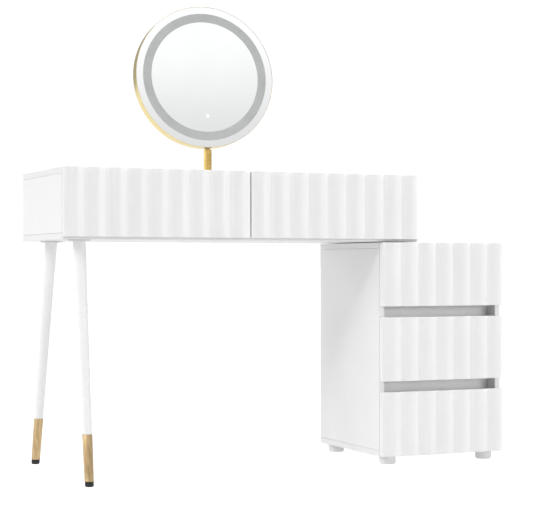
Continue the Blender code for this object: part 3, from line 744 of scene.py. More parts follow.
for drawer in DRAWERS:
    low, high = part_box(drawer + "_frame")
    bm = bmesh.new()
    left, right = low.x + DRAWER_WALL, high.x - DRAWER_WALL
    front, back = low.y + DRAWER_WALL, high.y - DRAWER_WALL
    eased_block(bm, low, (left, high.y, high.z), EASE)
    eased_block(bm, (right, low.y, low.z), high, EASE)
    eased_block(bm, (left + JOINT_GAP, low.y, low.z), (right - JOINT_GAP, front, high.z), EASE)
    eased_block(bm, (left + JOINT_GAP, back, low.z), (right - JOINT_GAP, high.y, high.z), EASE)
    finishes, stands_for = (drawer_foil, edge_band), (drawer + "_frame",)
    even_out(make_piece(drawer + "_box", bm, finishes, drawer, stands_for))
    make_board(drawer + "_floor", drawer, (drawer_foil, drawer_foil), FLOOR_EASE)
    print(drawer, "box", [round(v * 1000) for v in high - low], "mm")

# %% [markdown]
# ## Drawer runners
#
# Each drawer hangs on a pair of 35 mm runners. A runner is two channels of folded zinc
# steel: the wide one is screwed to the cabinet, and the narrow one to the drawer, with
# rows of balls between them. A folded channel is one outline drawn along the runner, with
# every bend rounded. The outline is given as a list of corners, and a helper rounds each
# corner by a short curve.


# %% Rounding corners and drawing outlines
def eased_line(points, radius, closed=False, steps=3):
    """The same outline with every corner replaced by a short curve."""
    result = []
    count = len(points)
    for i, here in enumerate(points):
        if not closed and i in (0, count - 1):
            result.append(tuple(here))
            continue
        here = Vector(here)
        before, after = Vector(points[i - 1]), Vector(points[(i + 1) % count])
        reach = min(radius, 0.45 * (before - here).length, 0.45 * (after - here).length)
        a = here + (before - here).normalized() * reach
        b = here + (after - here).normalized() * reach
        for step in range(steps + 1):
            t = step / steps
            result.append(tuple(a * (1 - t) ** 2 + here * 2 * t * (1 - t) + b * t * t))
    return result


def drawn_along_y(bm, outline, y0, y1):
    """Adds a closed outline of (x, z) points, drawn from y0 to y1."""
    ends = [[bm.verts.new((x, y, z)) for x, z in outline] for y in (y0, y1)]
    made = [bm.faces.new(ends[0]), bm.faces.new(list(reversed(ends[1])))]
    for i in range(len(outline)):
        j = (i + 1) % len(outline)
        made.append(bm.faces.new((ends[0][i], ends[1][i], ends[1][j], ends[0][j])))
    bmesh.ops.recalc_face_normals(bm, faces=made)


# %% Cabinet and drawer channels
RUNNER_H = 0.035
RUNNER_T = 0.0122
CHANNEL_WALL = 0.0015
BEND = 0.0009
DRAWER_CHANNEL_H = 0.0268
DRAWER_CHANNEL_T = 0.0085
DRAWER_CHANNEL_WALL = 0.0013
DRAWER_CHANNEL_GAP = 0.0002
BALL_R = 0.00115
BALLS_IN_ROW = 17
BALL_SPACING = 0.007
ROW_INSET = 0.012
ROW_SHARE = 0.55  # where the balls lie within the drawer channel's depth
RUNNER_SCREW = 0.85  # size against the screw head made below
RUNNERS = {}  # cabinet node: (drawer, cabinet body)

for side in ("left", "right"):
    for hand in ("left", "right"):
        RUNNERS["desk_" + side + "_bay_runner_" + hand] = ("desk_drawer_" + side, "desk")
for level in ("top", "middle", "bottom"):
    for hand in ("left", "right"):
        RUNNERS["pedestal_" + level + "_runner_" + hand] = ("pedestal_drawer_" + level, "pedestal")


def channel(x_back, facing, z_middle, height, depth, wall):
    """A C outline whose back is at x_back and whose open side faces facing."""
    half = height / 2
    corners = [(0, -half), (depth, -half), (depth, -half + wall), (wall, -half + wall)]
    corners += [(x, -z) for x, z in reversed(corners)]
    corners = [(x_back + facing * x, z_middle + z) for x, z in corners]
    return eased_line(corners, BEND, closed=True)


screw_places = {body: [] for body in frame["bodies"]}
ball_rows = {"desk": [], "pedestal": []}
SCREW_STEPS = (0.12, 0.50, 0.88)  # shares of a runner's length
SCREW_SHIFT = 0.06  # how much further back the drawer channel's screws are

for node, (drawer, cabinet) in RUNNERS.items():
    low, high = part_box(node)
    facing = 1 if node.endswith("left") else -1
    z_middle = (low.z + high.z) / 2
    x_back = low.x if facing > 0 else high.x
    bm = bmesh.new()
    outline = channel(x_back, facing, z_middle, RUNNER_H, RUNNER_T, CHANNEL_WALL)
    drawn_along_y(bm, outline, low.y, high.y)
    make_piece(node + "_channel", bm, (runner_zinc,), cabinet, (node,), 30)

    box_low, box_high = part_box(drawer + "_frame")
    x_side = (box_low.x if facing > 0 else box_high.x) - facing * DRAWER_CHANNEL_GAP
    outline = channel(
        x_side, -facing, z_middle, DRAWER_CHANNEL_H, DRAWER_CHANNEL_T, DRAWER_CHANNEL_WALL
    )
    bm = bmesh.new()
    drawn_along_y(bm, outline, low.y, high.y)
    name = drawer + "_channel_" + ("left" if facing > 0 else "right")
    make_piece(name, bm, (runner_zinc,), drawer, (), 30)

    for share in SCREW_STEPS:
        y = low.y + share * (high.y - low.y)
        spot = (x_back + facing * CHANNEL_WALL, y, z_middle)
        screw_places[cabinet].append((spot, (facing, 0, 0), RUNNER_SCREW))
        y = low.y + (share + SCREW_SHIFT) * (high.y - low.y)
        spot = (x_side - facing * DRAWER_CHANNEL_WALL, y, z_middle)
        screw_places[drawer].append((spot, (-facing, 0, 0), RUNNER_SCREW))
    gap_middle = (RUNNER_H / 2 - CHANNEL_WALL + DRAWER_CHANNEL_H / 2) / 2
    for up in (-1, 1):
        x = x_side - facing * DRAWER_CHANNEL_T * ROW_SHARE
        ball_rows[cabinet].append((x, low.y + ROW_INSET, z_middle + up * gap_middle))
print(len(RUNNERS), "runners,", sum(len(v) for v in screw_places.values()), "screws so far")

# %% [markdown]
# The balls are hard steel, 2.3 mm across and 7 mm apart. A row of balls follows a line,
# so a second tree makes it: a line of points, a small ball on each, and the whole row
# set down wherever the source mesh has a point. One run fills every runner of a cabinet.

# %% The ball tree
balls, start, end = new_tree(
    "ball_rows",
    {
        "Starts": ("Geometry", None),
        "Count": ("Int", BALLS_IN_ROW),
        "Spacing": ("Float", BALL_SPACING),
        "Radius": ("Float", BALL_R),
        "Finish": ("Material", None),
    },
)
stride = node_out(balls, "ShaderNodeCombineXYZ", {1: start["Spacing"]})
row = node_out(
    balls, "GeometryNodeMeshLine", {"Count": start["Count"], "Offset": stride}, mode="OFFSET"
)
ball = node_out(
    balls, "GeometryNodeMeshUVSphere", {"Segments": 8, "Rings": 5, "Radius": start["Radius"]}
)
one_row = node_out(balls, "GeometryNodeInstanceOnPoints", {"Points": row, "Instance": ball})
all_rows = node_out(
    balls, "GeometryNodeInstanceOnPoints", {"Points": start["Starts"], "Instance": one_row}
)
finish_tree(balls, all_rows, start["Finish"], end)


def points_mesh(name, points):
    """A mesh of loose points, for a tree to set things down on."""
    mesh = bpy.data.meshes.new(name)
    mesh.from_pydata([tuple(p) for p in points], [], [])
    return mesh


values = {
    "Count": BALLS_IN_ROW,
    "Spacing": BALL_SPACING,
    "Radius": BALL_R,
    "Finish": screw_zinc,
}
for cabinet, starts in ball_rows.items():
    mesh = run_tree(balls, values, points_mesh("row_starts", starts))
    make_piece(cabinet + "_runner_balls", mesh, (), cabinet, (), 80)
    print(cabinet, len(starts), "rows,", len(mesh.polygons), "faces")

# %% [markdown]
# ## Turned pieces
#
# Legs, ferrules, feet, the post and the whole mirror are round, so each is one profile
# spun about an axis. The profile is a list of (radius, height) corners, rounded by the
# same helper as the channels. Points that meet on the axis or at the end of the turn are
# merged, so that the shape is closed, and its faces are then turned outwards.


# %% Spinning a profile
def spun(profile, sides, closed=False, place=None):
    """A closed mesh made by spinning (radius, height) points about Z."""
    bm = bmesh.new()
    points = [bm.verts.new((radius, 0.0, height)) for radius, height in profile]
    pairs = list(zip(points, points[1:])) + ([(points[-1], points[0])] if closed else [])
    rim = [bm.edges.new(pair) for pair in pairs]
    bmesh.ops.spin(
        bm, geom=points + rim, cent=(0, 0, 0), axis=(0, 0, 1),
        angle=2 * math.pi, steps=sides, use_merge=True,
    )
    bmesh.ops.remove_doubles(bm, verts=bm.verts, dist=0.000005)
    bmesh.ops.recalc_face_normals(bm, faces=bm.faces)
    if place is not None:
        bm.transform(place)
    return bm


print("spinning helper ready")

# %% [markdown]
# ## Legs
#
# Two steel legs taper from 31 mm to 21 mm and splay outwards. The foot of each is dressed
# with a gold ferrule and ends in a black rubber cap, and the top is welded to a round
# plate under the desk. The splay is a shear and not a turn, so that the cap still
# stands flat on the floor. Each ring of points is moved sideways by its drop below the
# desk. A narrow bead at the top of the leg is the weld.

# %% The two legs
LEG_TOP_R = 0.0155
LEG_FOOT_R = 0.0105
LEAN_X = math.tan(math.radians(0.90))
LEAN_Y = math.tan(math.radians(11.03))
LEG_SIDES = 64
FERRULE_PROUD = 0.0004
FERRULE_WALL = 0.0012
FERRULE_GROOVE = 0.0006
WELD_BEAD = 0.0014
CAP_H = 0.012
CAP_STEM_R = 0.005
CAP_GROOVE = 0.0007
PLATE_SCREW_R = 0.0225
PLATE_SCREW = 0.95
FIT = 0.0003  # the gap between two pieces that fit into each other
desk_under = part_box("desk_bottom")[0].z


def leg_radius(z):
    """A leg's radius at a height, without weld or ferrule."""
    return LEG_FOOT_R + (LEG_TOP_R - LEG_FOOT_R) * z / desk_under


def leg_part(name, profile, end, finish, closed=False, ease=0.0008):
    """A spun piece of one leg, sheared so that it leans but stays level."""
    low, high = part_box("leg_plate_" + end)
    centre = (low + high) / 2
    away = -1 if end == "front" else 1
    bm = spun(eased_line(profile, ease, closed), LEG_SIDES, closed)
    for vert in bm.verts:
        drop = desk_under - vert.co.z
        vert.co.x += centre.x - drop * LEAN_X
        vert.co.y += centre.y + away * drop * LEAN_Y
    node = name + "_" + end
    make_piece(node + "_turned", bm, (finish,), "desk", (node,), 40)


def on_circle(middle, radius, turns):
    """Places on a level circle, one for each turn in degrees."""
    x, y, z = middle
    turns = [math.radians(turn) for turn in turns]
    return [(x + radius * math.cos(a), y + radius * math.sin(a), z) for a in turns]


for end_name in ("front", "rear"):
    plate_low, plate_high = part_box("leg_plate_" + end_name)
    plate_r = (plate_high.x - plate_low.x) / 2
    leg_low, leg_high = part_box("leg_" + end_name)
    sleeve_low, sleeve_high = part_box("leg_ferrule_" + end_name)
    cap_low, cap_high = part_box("leg_cap_" + end_name)
    shoulder = sleeve_high.z + FIT
    core = FERRULE_WALL + FIT - FERRULE_PROUD
    leg = [
        (0.0, leg_low.z),
        (leg_radius(leg_low.z) - core, leg_low.z),
        (leg_radius(shoulder) - core, shoulder),
        (leg_radius(shoulder), shoulder),
        (leg_radius(leg_high.z - 2 * WELD_BEAD), leg_high.z - 2 * WELD_BEAD),
        (leg_radius(leg_high.z) + WELD_BEAD, leg_high.z - WELD_BEAD * 0.6),
        (leg_radius(leg_high.z) + WELD_BEAD, leg_high.z),
        (0.0, leg_high.z),
    ]
    leg_part("leg", leg, end_name, leg_enamel)

    # (height above the sleeve's foot, how far out), with a groove turned in it
    groove_out = FERRULE_PROUD - FERRULE_GROOVE
    steps = [
        (0.0, FERRULE_PROUD),
        (0.004, FERRULE_PROUD),
        (0.0044, groove_out),
        (0.0054, groove_out),
        (0.0058, FERRULE_PROUD),
    ]
    sleeve = [(leg_radius(sleeve_low.z + up) + out, sleeve_low.z + up) for up, out in steps]
    sleeve += [
        (leg_radius(sleeve_high.z) + FERRULE_PROUD, sleeve_high.z),
        (leg_radius(sleeve_high.z) + FERRULE_PROUD - FERRULE_WALL, sleeve_high.z),
        (leg_radius(sleeve_low.z) + FERRULE_PROUD - FERRULE_WALL, sleeve_low.z),
    ]
    leg_part("leg_ferrule", sleeve, end_name, ferrule_gold, True, 0.0003)

    cap_r = leg_radius(CAP_H)
    cap = [
        (0.0, 0.0),
        (cap_r - 0.0015, 0.0),
        (cap_r, 0.0035),
        (cap_r, 0.0068),
        (cap_r - CAP_GROOVE, 0.0073),
        (cap_r - CAP_GROOVE, 0.0081),
        (cap_r, 0.0086),
        (cap_r, CAP_H),
        (CAP_STEM_R, CAP_H),
        (CAP_STEM_R, cap_high.z),
        (0.0, cap_high.z),
    ]
    leg_part("leg_cap", cap, end_name, foot_rubber, False, 0.0014)

    node = "leg_plate_" + end_name
    plate_middle, plate_t = (plate_low + plate_high) / 2, plate_high.z - plate_low.z
    plate = [(0.0, 0.0), (plate_r, 0.0), (plate_r, plate_t), (0.0, plate_t)]
    place = Matrix.Translation((plate_middle.x, plate_middle.y, plate_low.z))
    bm = spun(eased_line(plate, 0.0007), LEG_SIDES, place=place)
    make_piece(node + "_disc", bm, (plate_enamel,), "desk", (node,), 40)
    for spot in on_circle((plate_middle.x, plate_middle.y, plate_low.z), PLATE_SCREW_R, (30, 150, 270)):
        screw_places["desk"].append((spot, (0, 0, -1), PLATE_SCREW))
    print(end_name, "leg stands at", [round((cap_low[i] + cap_high[i]) / 2, 3) for i in (0, 1)])

# %% [markdown]
# ## Pedestal feet
#
# The pedestal stands on four moulded discs, 43 mm across, each held by a screw through
# its middle. The lower edge is well rounded, so that it slides over a carpet, and the
# screw sits in a recess from below.

# %% Four feet
FOOT_R = 0.0215
FOOT_RECESS = 0.006
FOOT_SCREW = 1.1

for row in ("front", "rear"):
    for hand in ("left", "right"):
        node = "pedestal_foot_" + row + "_" + hand
        low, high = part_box(node)
        middle = (low + high) / 2
        foot = [
            (0.0, FOOT_RECESS),
            (0.0058, FOOT_RECESS),
            (0.0070, 0.0),
            (FOOT_R - 0.0018, 0.0),
            (FOOT_R, 0.0050),
            (FOOT_R, high.z - 0.0030),
            (FOOT_R - 0.0010, high.z - 0.0026),
            (FOOT_R - 0.0010, high.z),
            (0.0, high.z),
        ]
        place = Matrix.Translation((middle.x, middle.y, 0.0))
        bm = spun(eased_line(foot, 0.0030, steps=4), 64, place=place)
        make_piece(node + "_turned", bm, (foot_plastic,), "pedestal", (node,), 40)
        spot = (middle.x, middle.y, FOOT_RECESS)
        screw_places["pedestal"].append((spot, (0, 0, -1), FOOT_SCREW))
        print(node, "at", round(middle.x, 3), round(middle.y, 3))

# %% [markdown]
# ## Post and flange
#
# The mirror stands on a 20 mm tube that is let into a round flange, and the flange is
# screwed to the desk top. The top of the tube is a cone, which leaves the rim room to
# tilt. Both are spun. A shallow groove near the top of the tube is where its end bush is
# rolled in.

# %% The post
post_low, post_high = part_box("mirror_post")
flange_low, flange_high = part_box("mirror_flange")
post_centre = (post_low + post_high) / 2
post_r = (post_high.x - post_low.x) / 2
flange_r = (flange_high.x - flange_low.x) / 2
BORE_R = 0.0076
BORE_DEPTH = 0.030
TILT_MAX = math.radians(15)
SHOULDER_DROP = (post_r - BORE_R) * math.tan(TILT_MAX)
POST_GROOVE = 0.0004
FLANGE_SCREW = 0.7
shoulder_z = post_high.z - SHOULDER_DROP
post = [
    (0.0, post_low.z),
    (post_r, post_low.z),
    (post_r, shoulder_z - 0.0060),
    (post_r - POST_GROOVE, shoulder_z - 0.0056),
    (post_r - POST_GROOVE, shoulder_z - 0.0048),
    (post_r, shoulder_z - 0.0044),
    (post_r, shoulder_z),
    (BORE_R, post_high.z),
    (BORE_R, shoulder_z - BORE_DEPTH),
    (0.0, shoulder_z - BORE_DEPTH),
]
post_place = Matrix.Translation((post_centre.x, post_centre.y, 0.0))
bm = spun(eased_line(post, 0.0003), 96, place=post_place)
make_piece("mirror_post_tube", bm, (post_gold,), "desk", ("mirror_post",), 40)

hole = post_r + FIT
flange_z = flange_high.z - flange_low.z
flange_top = flange_high.z - 0.0012
flange = [
    (hole, flange_low.z),
    (flange_r, flange_low.z),
    (flange_r, flange_low.z + flange_z * 0.4),
    (flange_r - 0.0030, flange_top),
    (hole + 0.0050, flange_top),
    (hole + 0.0035, flange_high.z),
    (hole, flange_high.z),
]
bm = spun(eased_line(flange, 0.0010, closed=True), 96, closed=True, place=post_place)
make_piece("mirror_flange_turned", bm, (post_gold,), "desk", ("mirror_flange",), 40)
reach = (hole + 0.005 + flange_r - 0.003) / 2
for spot in on_circle((post_centre.x, post_centre.y, flange_top), reach, (90, 210, 330)):
    screw_places["desk"].append((spot, (0, 0, 1), FLANGE_SCREW))
print("post", round(post_high.z - post_low.z, 4), "m tall")

# %% [markdown]
# ## The hidden joint
#
# A spigot turns in the post, so the mirror swivels. Above it an eye takes a pin, and two
# lugs inside the rim tilt on the same pin. The spigot is spun, and the eye is a short
# bar across it. Joining two round bars is a job for a Boolean, which is then made plain.


# %% Spigot, eye and pin
BAR_EASE = 0.0006


def bar(radius, length, frame_of, sides=48):
    """A bar along the X axis of a frame, as a mesh."""
    half = length / 2
    profile = eased_line([(0.0, -half), (radius, -half), (radius, half), (0.0, half)], BAR_EASE)
    return spun(profile, sides, place=frame_of @ Matrix.Rotation(math.pi / 2, 4, "Y"))


def join_or_cut(mesh, tool, operation):
    """The first closed mesh joined with the second, or cut by it."""
    holders = []
    for bm in (mesh, tool):
        data = bpy.data.meshes.new("shape")
        bm.to_mesh(data)
        bm.free()
        holder = bpy.data.objects.new("shape", data)
        bpy.context.scene.collection.objects.link(holder)
        holders.append(holder)
    step = holders[0].modifiers.new("join", "BOOLEAN")
    step.operation, step.solver, step.object = operation, "EXACT", holders[1]
    result = bmesh.new()
    result.from_mesh(plain_mesh(holders[0]).data)
    for holder in holders:
        bpy.data.objects.remove(holder)
    return result


EYE_R = 0.0065
EYE_LENGTH = 0.012
NECK_R = 0.0055
PIN_R = 0.0025
LUG_GAP = 0.0008
LUG_T = 0.0050
tilt_frame = swivel_frame @ Matrix.Rotation(HEAD_LEAN, 4, "Y")
spigot_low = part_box("swivel_knuckle")[0].z - PIVOT.z
spigot_high = post_high.z - PIVOT.z - FIT
spigot_r = BORE_R - FIT
spigot = [
    (0.0, spigot_low),
    (spigot_r, spigot_low),
    (spigot_r, spigot_high),
    (NECK_R, spigot_high + 2 * FIT),
    (NECK_R, 0.0),
    (0.0, 0.0),
]
knuckle = spun(eased_line(spigot, 0.0003), 48, place=swivel_frame)
knuckle = join_or_cut(knuckle, bar(EYE_R, EYE_LENGTH, tilt_frame), "UNION")
knuckle = join_or_cut(knuckle, bar(PIN_R + FIT, 2 * EYE_LENGTH, tilt_frame), "DIFFERENCE")
pin_length = EYE_LENGTH + 2 * (LUG_GAP + LUG_T)
pin = bar(PIN_R, pin_length, head_frame, 32)
for node, mesh, body in (("swivel_knuckle", knuckle, "mirror_swivel"), ("tilt_pin", pin, "mirror_head")):
    make_piece(node + "_turned", mesh, (knuckle_gold,), body, (node,), 40)
print("pin", round(pin_length * 1000, 1), "mm long")

# %% [markdown]
# ## The mirror head
#
# The rim is a gold band, 378 mm across and 32 mm deep, with a small ledge inside it that
# the glass rests on. It is spun on the head's own axis, then cut for the neck of the
# knuckle, and two lugs are joined on inside. The back is closed by a gold cover with a
# shallow dished middle and a ring of screws. The band's narrow front edge beside the
# glass is left a bare grey.

# %% Rim and lugs
MIRROR_R = 0.1888
MIRROR_T = 0.032
RIM_WALL = 0.0020
RIM_LIP = 0.0003
RIM_SEAT = 0.0040
PIVOT_INSET = RIM_WALL + EYE_R + 0.0025
GLASS_RECESS = 0.0006
EDGE_DEPTH = 0.0008
GLASS_T = 0.0040
DIFFUSER_T = 0.003
LED_BOARD_T = 0.0016
HEAD_SIDES = 192
face_frame = (
    head_frame
    @ Matrix.Translation((0.0, -MIRROR_T / 2, MIRROR_R - PIVOT_INSET))
    @ Matrix.Rotation(-math.pi / 2, 4, "X")
)
wall_r = MIRROR_R - RIM_WALL
seat_r = wall_r - RIM_SEAT
seat_y = GLASS_RECESS + GLASS_T + FIT
lip_r = MIRROR_R - RIM_LIP
rim = [
    (lip_r, 0.0),
    (MIRROR_R, 0.0),
    (MIRROR_R, MIRROR_T),
    (wall_r, MIRROR_T),
    (wall_r, seat_y + 0.002),
    (seat_r, seat_y + 0.002),
    (seat_r, seat_y),
    (lip_r, seat_y),
]
rim_mesh = spun(eased_line(rim, 0.0009, closed=True, steps=4), HEAD_SIDES, True, face_frame)


def block_in(frame_of, low, high, ease):
    """An eased block in a frame, as a mesh."""
    bm = bmesh.new()
    eased_block(bm, low, high, ease)
    bm.transform(frame_of)
    return bm


lug_top = PIN_R + 2 * FIT + RIM_WALL / 2
lug_low = -(PIVOT_INSET - RIM_WALL / 2)
for hand in (-1, 1):
    near, far = EYE_LENGTH / 2 + LUG_GAP, EYE_LENGTH / 2 + LUG_GAP + LUG_T
    x0, x1 = sorted((hand * near, hand * far))
    lug = block_in(head_frame, (x0, -0.006, lug_low), (x1, 0.006, lug_top), 0.0005)
    rim_mesh = join_or_cut(rim_mesh, lug, "UNION")
pin_hole = bar(PIN_R + FIT, 0.040, head_frame, 32)
rim_mesh = join_or_cut(rim_mesh, pin_hole, "DIFFERENCE")
lean_room = (PIVOT_INSET + NECK_R * math.sin(TILT_MAX)) * math.tan(TILT_MAX)
slot_half = NECK_R / math.cos(TILT_MAX) + lean_room + 0.0025
slot_x, slot_z = (EYE_LENGTH + 0.0008) / 2, RIM_WALL + RIM_SEAT + 0.0008
neck_slot = block_in(
    head_frame,
    (-slot_x, -slot_half, -PIVOT_INSET - slot_z),
    (slot_x, slot_half, -PIVOT_INSET + slot_z),
    0.0010,
)
rim_mesh = join_or_cut(rim_mesh, neck_slot, "DIFFERENCE")
rim_piece = make_piece(
    "mirror_rim",
    rim_mesh,
    (rim_gold, rim_edge_grey),
    "mirror_head",
    ("mirror_housing",),
    40,
)
to_face = face_frame.inverted()
for face in rim_piece.data.polygons:
    if (to_face @ face.center).z < EDGE_DEPTH:
        face.material_index = 1
print("rim spans", [round(v, 4) for v in rim_piece.dimensions])

# %% Back cover
COVER_SCREWS = 8
COVER_SCREW_R = 0.168
COVER_SCREW = 0.8
cover_r = wall_r - FIT
cover_low = MIRROR_T - 0.003
cover = [
    (0.0, cover_low),
    (cover_r, cover_low),
    (cover_r, MIRROR_T - 0.0002),
    (0.1500, MIRROR_T - 0.0002),
    (0.1470, MIRROR_T - 0.0014),
    (0.0620, MIRROR_T - 0.0014),
    (0.0590, MIRROR_T - 0.0004),
    (0.0, MIRROR_T - 0.0004),
]
bm = spun(eased_line(cover, 0.0010, steps=4), HEAD_SIDES, place=face_frame)
stands_for = ("mirror_back_cover",)
make_piece("mirror_back_plate", bm, (cover_gold,), "mirror_head", stands_for, 40)
head_back = (head_frame.to_3x3() @ Vector((0, 1, 0))).normalized()
turns = [360 * (i + 0.5) / COVER_SCREWS for i in range(COVER_SCREWS)]
for spot in on_circle((0.0, 0.0, MIRROR_T - 0.0016), COVER_SCREW_R, turns):
    spot = face_frame @ Vector(spot)
    screw_places["mirror_head"].append((tuple(spot), tuple(head_back), COVER_SCREW))
print("cover", round(cover_r * 2000), "mm across")

# %% [markdown]
# ## The glass
#
# The front is one disc of silvered glass. Between 147 and 170 mm from its middle the
# silver is etched away, and the light behind shows through that frosted band. The disc
# is one spun mesh with three zones, because on the real one it is one sheet of glass.
# The band is set four hundredths of a millimetre lower, as etching leaves it. Silver is
# a metal here, kept almost free of roughness, with a faint haze. The band is matt.

# %% Glass finishes
def tint(tree, shader, mask, a, b, socket="Base Color"):
    """Gives the shader a colour that goes from a to b with the mask."""
    tree.links.new(two_tones(tree, mask, a, b), shader.inputs[socket])


silver, tree, shader, here = new_finish("silvered_glass", (0.93, 0.935, 0.94), 0.02, 1.0)
haze = place_group(tree, patches, {"Vector": here, "Scale": 9.0})["Mask"]
tree.links.new(spread(tree, haze, 0.0, 1.0, 0.012, 0.035), shader.inputs["Roughness"])
tint(tree, shader, haze, (0.94, 0.945, 0.95), (0.92, 0.925, 0.93))
# light from the touch mark spreads a little way in the glass
MARK_DROP = 0.104
HALO_R = 0.0085
HALO_GLOW = 0.16
MARK_GLOW = 0.45
mark_place = face_frame @ Vector((0.0, MARK_DROP, GLASS_RECESS))
away = add_node(tree, "ShaderNodeVectorMath", {0: here, 1: mark_place}, operation="DISTANCE")
halo = spread(tree, away.outputs["Value"], 0.0, HALO_R, HALO_GLOW, 0.0, smooth=True)
tree.links.new(halo, shader.inputs["Emission Strength"])
shader.inputs["Emission Color"].default_value = (0.95, 0.97, 1.0, 1.0)

etched, tree, shader, here = new_finish("etched_band", (0.50, 0.51, 0.51), 0.55)
grit = noise_of(tree, here, 1600.0, 3.0)
cloud = place_group(tree, patches, {"Vector": here, "Scale": 14.0})["Mask"]
tint(tree, shader, cloud, (0.50, 0.51, 0.51), (0.44, 0.45, 0.45))
tree.links.new(spread(tree, grit, 0.3, 0.7, 0.45, 0.65), shader.inputs["Roughness"])
raise_surface(tree, shader, grit, 0.00005)

guide, tree, shader, here = new_finish("frosted_light_guide", (0.78, 0.79, 0.79), 0.55)
grit = noise_of(tree, here, 1100.0, 2.0)
tint(tree, shader, grit, (0.80, 0.81, 0.81), (0.74, 0.75, 0.75))
raise_surface(tree, shader, grit, 0.00005)

glow, tree, shader, here = new_finish("touch_mark_glow", (0.95, 0.95, 0.95), 0.4)
spark = noise_of(tree, here, 900.0, 2.0)
tint(tree, shader, spark, (1.0, 1.0, 1.0), (0.85, 0.92, 1.0), "Emission Color")
shader.inputs["Emission Strength"].default_value = MARK_GLOW
print("glass finishes made")

# %% Glass disc, light guide and lamps
RING_OUT = 0.1700
RING_IN = 0.1470
glass_r = lip_r - 0.0001
ETCH = 0.00004
y0, y1 = GLASS_RECESS, GLASS_RECESS + GLASS_T
disc = [
    (0.0, y0),
    (RING_IN * 0.5, y0),
    (RING_IN, y0),
    (RING_IN + 0.0001, y0 + ETCH),
    (RING_OUT - 0.0001, y0 + ETCH),
    (RING_OUT, y0),
    (glass_r - 0.0005, y0),
    (glass_r, y0 + 0.0005),
    (glass_r, y1 - 0.0005),
    (glass_r - 0.0005, y1),
    (0.0, y1),
]
bm = spun(disc, HEAD_SIDES)
for face in bm.faces:
    middle = face.calc_center_median()
    radius = math.hypot(middle.x, middle.y)
    on_front = middle.z < y0 + 0.0003
    face.material_index = 1 if on_front and RING_IN < radius < RING_OUT else 0
bm.transform(face_frame)
stands_for = ("mirror_glass",)
make_piece("mirror_glass_disc", bm, (silver, etched), "mirror_head", stands_for, 20)

for node, finish in (("light_diffuser", guide), ("led_ring", lamp_board), ("touch_sensor", lamp_board)):
    mesh = frame["nodes"][node].data
    for i in range(len(mesh.materials)):
        mesh.materials[i] = finish
    print(node, "keeps its solid, now", finish.name)

# %% [markdown]
# The touch mark is a small glowing sign: a ring that is open at the top, with a short
# bar in the gap, the usual sign for on and off. Each stroke is a thin ribbon of mesh with
# a real thickness, laid on the glass and set back from the rim's front edge.

# %% Touch mark
MARK_R = 0.0030
MARK_STROKE = 0.0006
MARK_T = 0.0002
mark_frame = face_frame @ Matrix.Translation((0.0, MARK_DROP, y0 - MARK_T))


def ribbon(bm, inner, outer, thickness):
    """A flat ribbon between two rows of points, with a thickness along Z."""
    a, b, c, d = [
        [bm.verts.new((x, y, z)) for x, y in line]
        for z in (0.0, thickness)
        for line in (inner, outer)
    ]
    made = []
    for i in range(len(inner) - 1):
        j = i + 1
        made.append(bm.faces.new((a[i], b[i], b[j], a[j])))
        made.append(bm.faces.new((c[i], c[j], d[j], d[i])))
        made.append(bm.faces.new((a[i], a[j], c[j], c[i])))
        made.append(bm.faces.new((b[i], d[i], d[j], b[j])))
    for i in (0, -1):
        made.append(bm.faces.new((a[i], c[i], d[i], b[i])))
    bmesh.ops.recalc_face_normals(bm, faces=made)


bm = bmesh.new()
half = MARK_STROKE / 2
turns = [math.radians(-60 + 300 * i / 40) for i in range(41)]
inner, outer = [
    [(radius * math.cos(t), radius * math.sin(t)) for t in turns]
    for radius in (MARK_R - half, MARK_R + half)
]
ribbon(bm, inner, outer, MARK_T)
left, right = [[(x, -MARK_R * 1.25), (x, -MARK_R * 0.2)] for x in (-half, half)]
ribbon(bm, left, right, MARK_T)
bm.transform(mark_frame)
make_piece("touch_mark", bm, (glow,), "mirror_head", (), 30)
print("touch mark", MARK_R * 2000, "mm across")

# %% [markdown]
# ## Light strip
#
# Small lamps stand in a ring on the board behind the glass. They repeat evenly around a
# circle, so a tree makes them: a circle of points and a low block on each, turned to face
# outwards. What comes out is plain mesh, and it is then moved into the head's frame.

# %% Lamp tree
RING_LAMPS = 72
CHIP = (0.0028, 0.0035, 0.0008)

chips, start, end = new_tree(
    "lamps_on_a_ring",
    {
        "Radius": ("Float", 0.1585),
        "Count": ("Int", RING_LAMPS),
        "Chip": ("Vector", CHIP),
        "Height": ("Float", 0.0),
        "Finish": ("Material", None),
    },
)
inputs = {"Vertices": start["Count"], "Radius": start["Radius"]}
circle = node_out(chips, "GeometryNodeMeshCircle", inputs)
lift = node_out(chips, "ShaderNodeCombineXYZ", {2: start["Height"]})
lifted = node_out(chips, "GeometryNodeTransform", {"Geometry": circle, "Translation": lift})
outwards = node_out(chips, "GeometryNodeInputPosition")
flat_out = node_out(
    chips, "ShaderNodeVectorMath", {0: outwards, 1: (1, 1, 0)}, operation="MULTIPLY"
)
facing_out = node_out(chips, "FunctionNodeAlignRotationToVector", {"Vector": flat_out}, axis="X")
chip = node_out(chips, "GeometryNodeMeshCube", {"Size": start["Chip"]})
inputs = {"Points": lifted, "Instance": chip, "Rotation": facing_out}
set_out = node_out(chips, "GeometryNodeInstanceOnPoints", inputs)
finish_tree(chips, set_out, start["Finish"], end)

led_y0 = GLASS_RECESS + GLASS_T + FIT + DIFFUSER_T + FIT
values = {
    "Radius": (RING_IN + RING_OUT) / 2,
    "Count": RING_LAMPS,
    "Chip": list(CHIP),
    "Height": led_y0 + LED_BOARD_T + CHIP[2] / 2,
    "Finish": guide,
}
mesh = run_tree(chips, values, bevel=0.0002)
mesh.transform(face_frame)
make_piece("mirror_lamps", mesh, (), "mirror_head", (), 30)
print(values["Count"], "lamps")

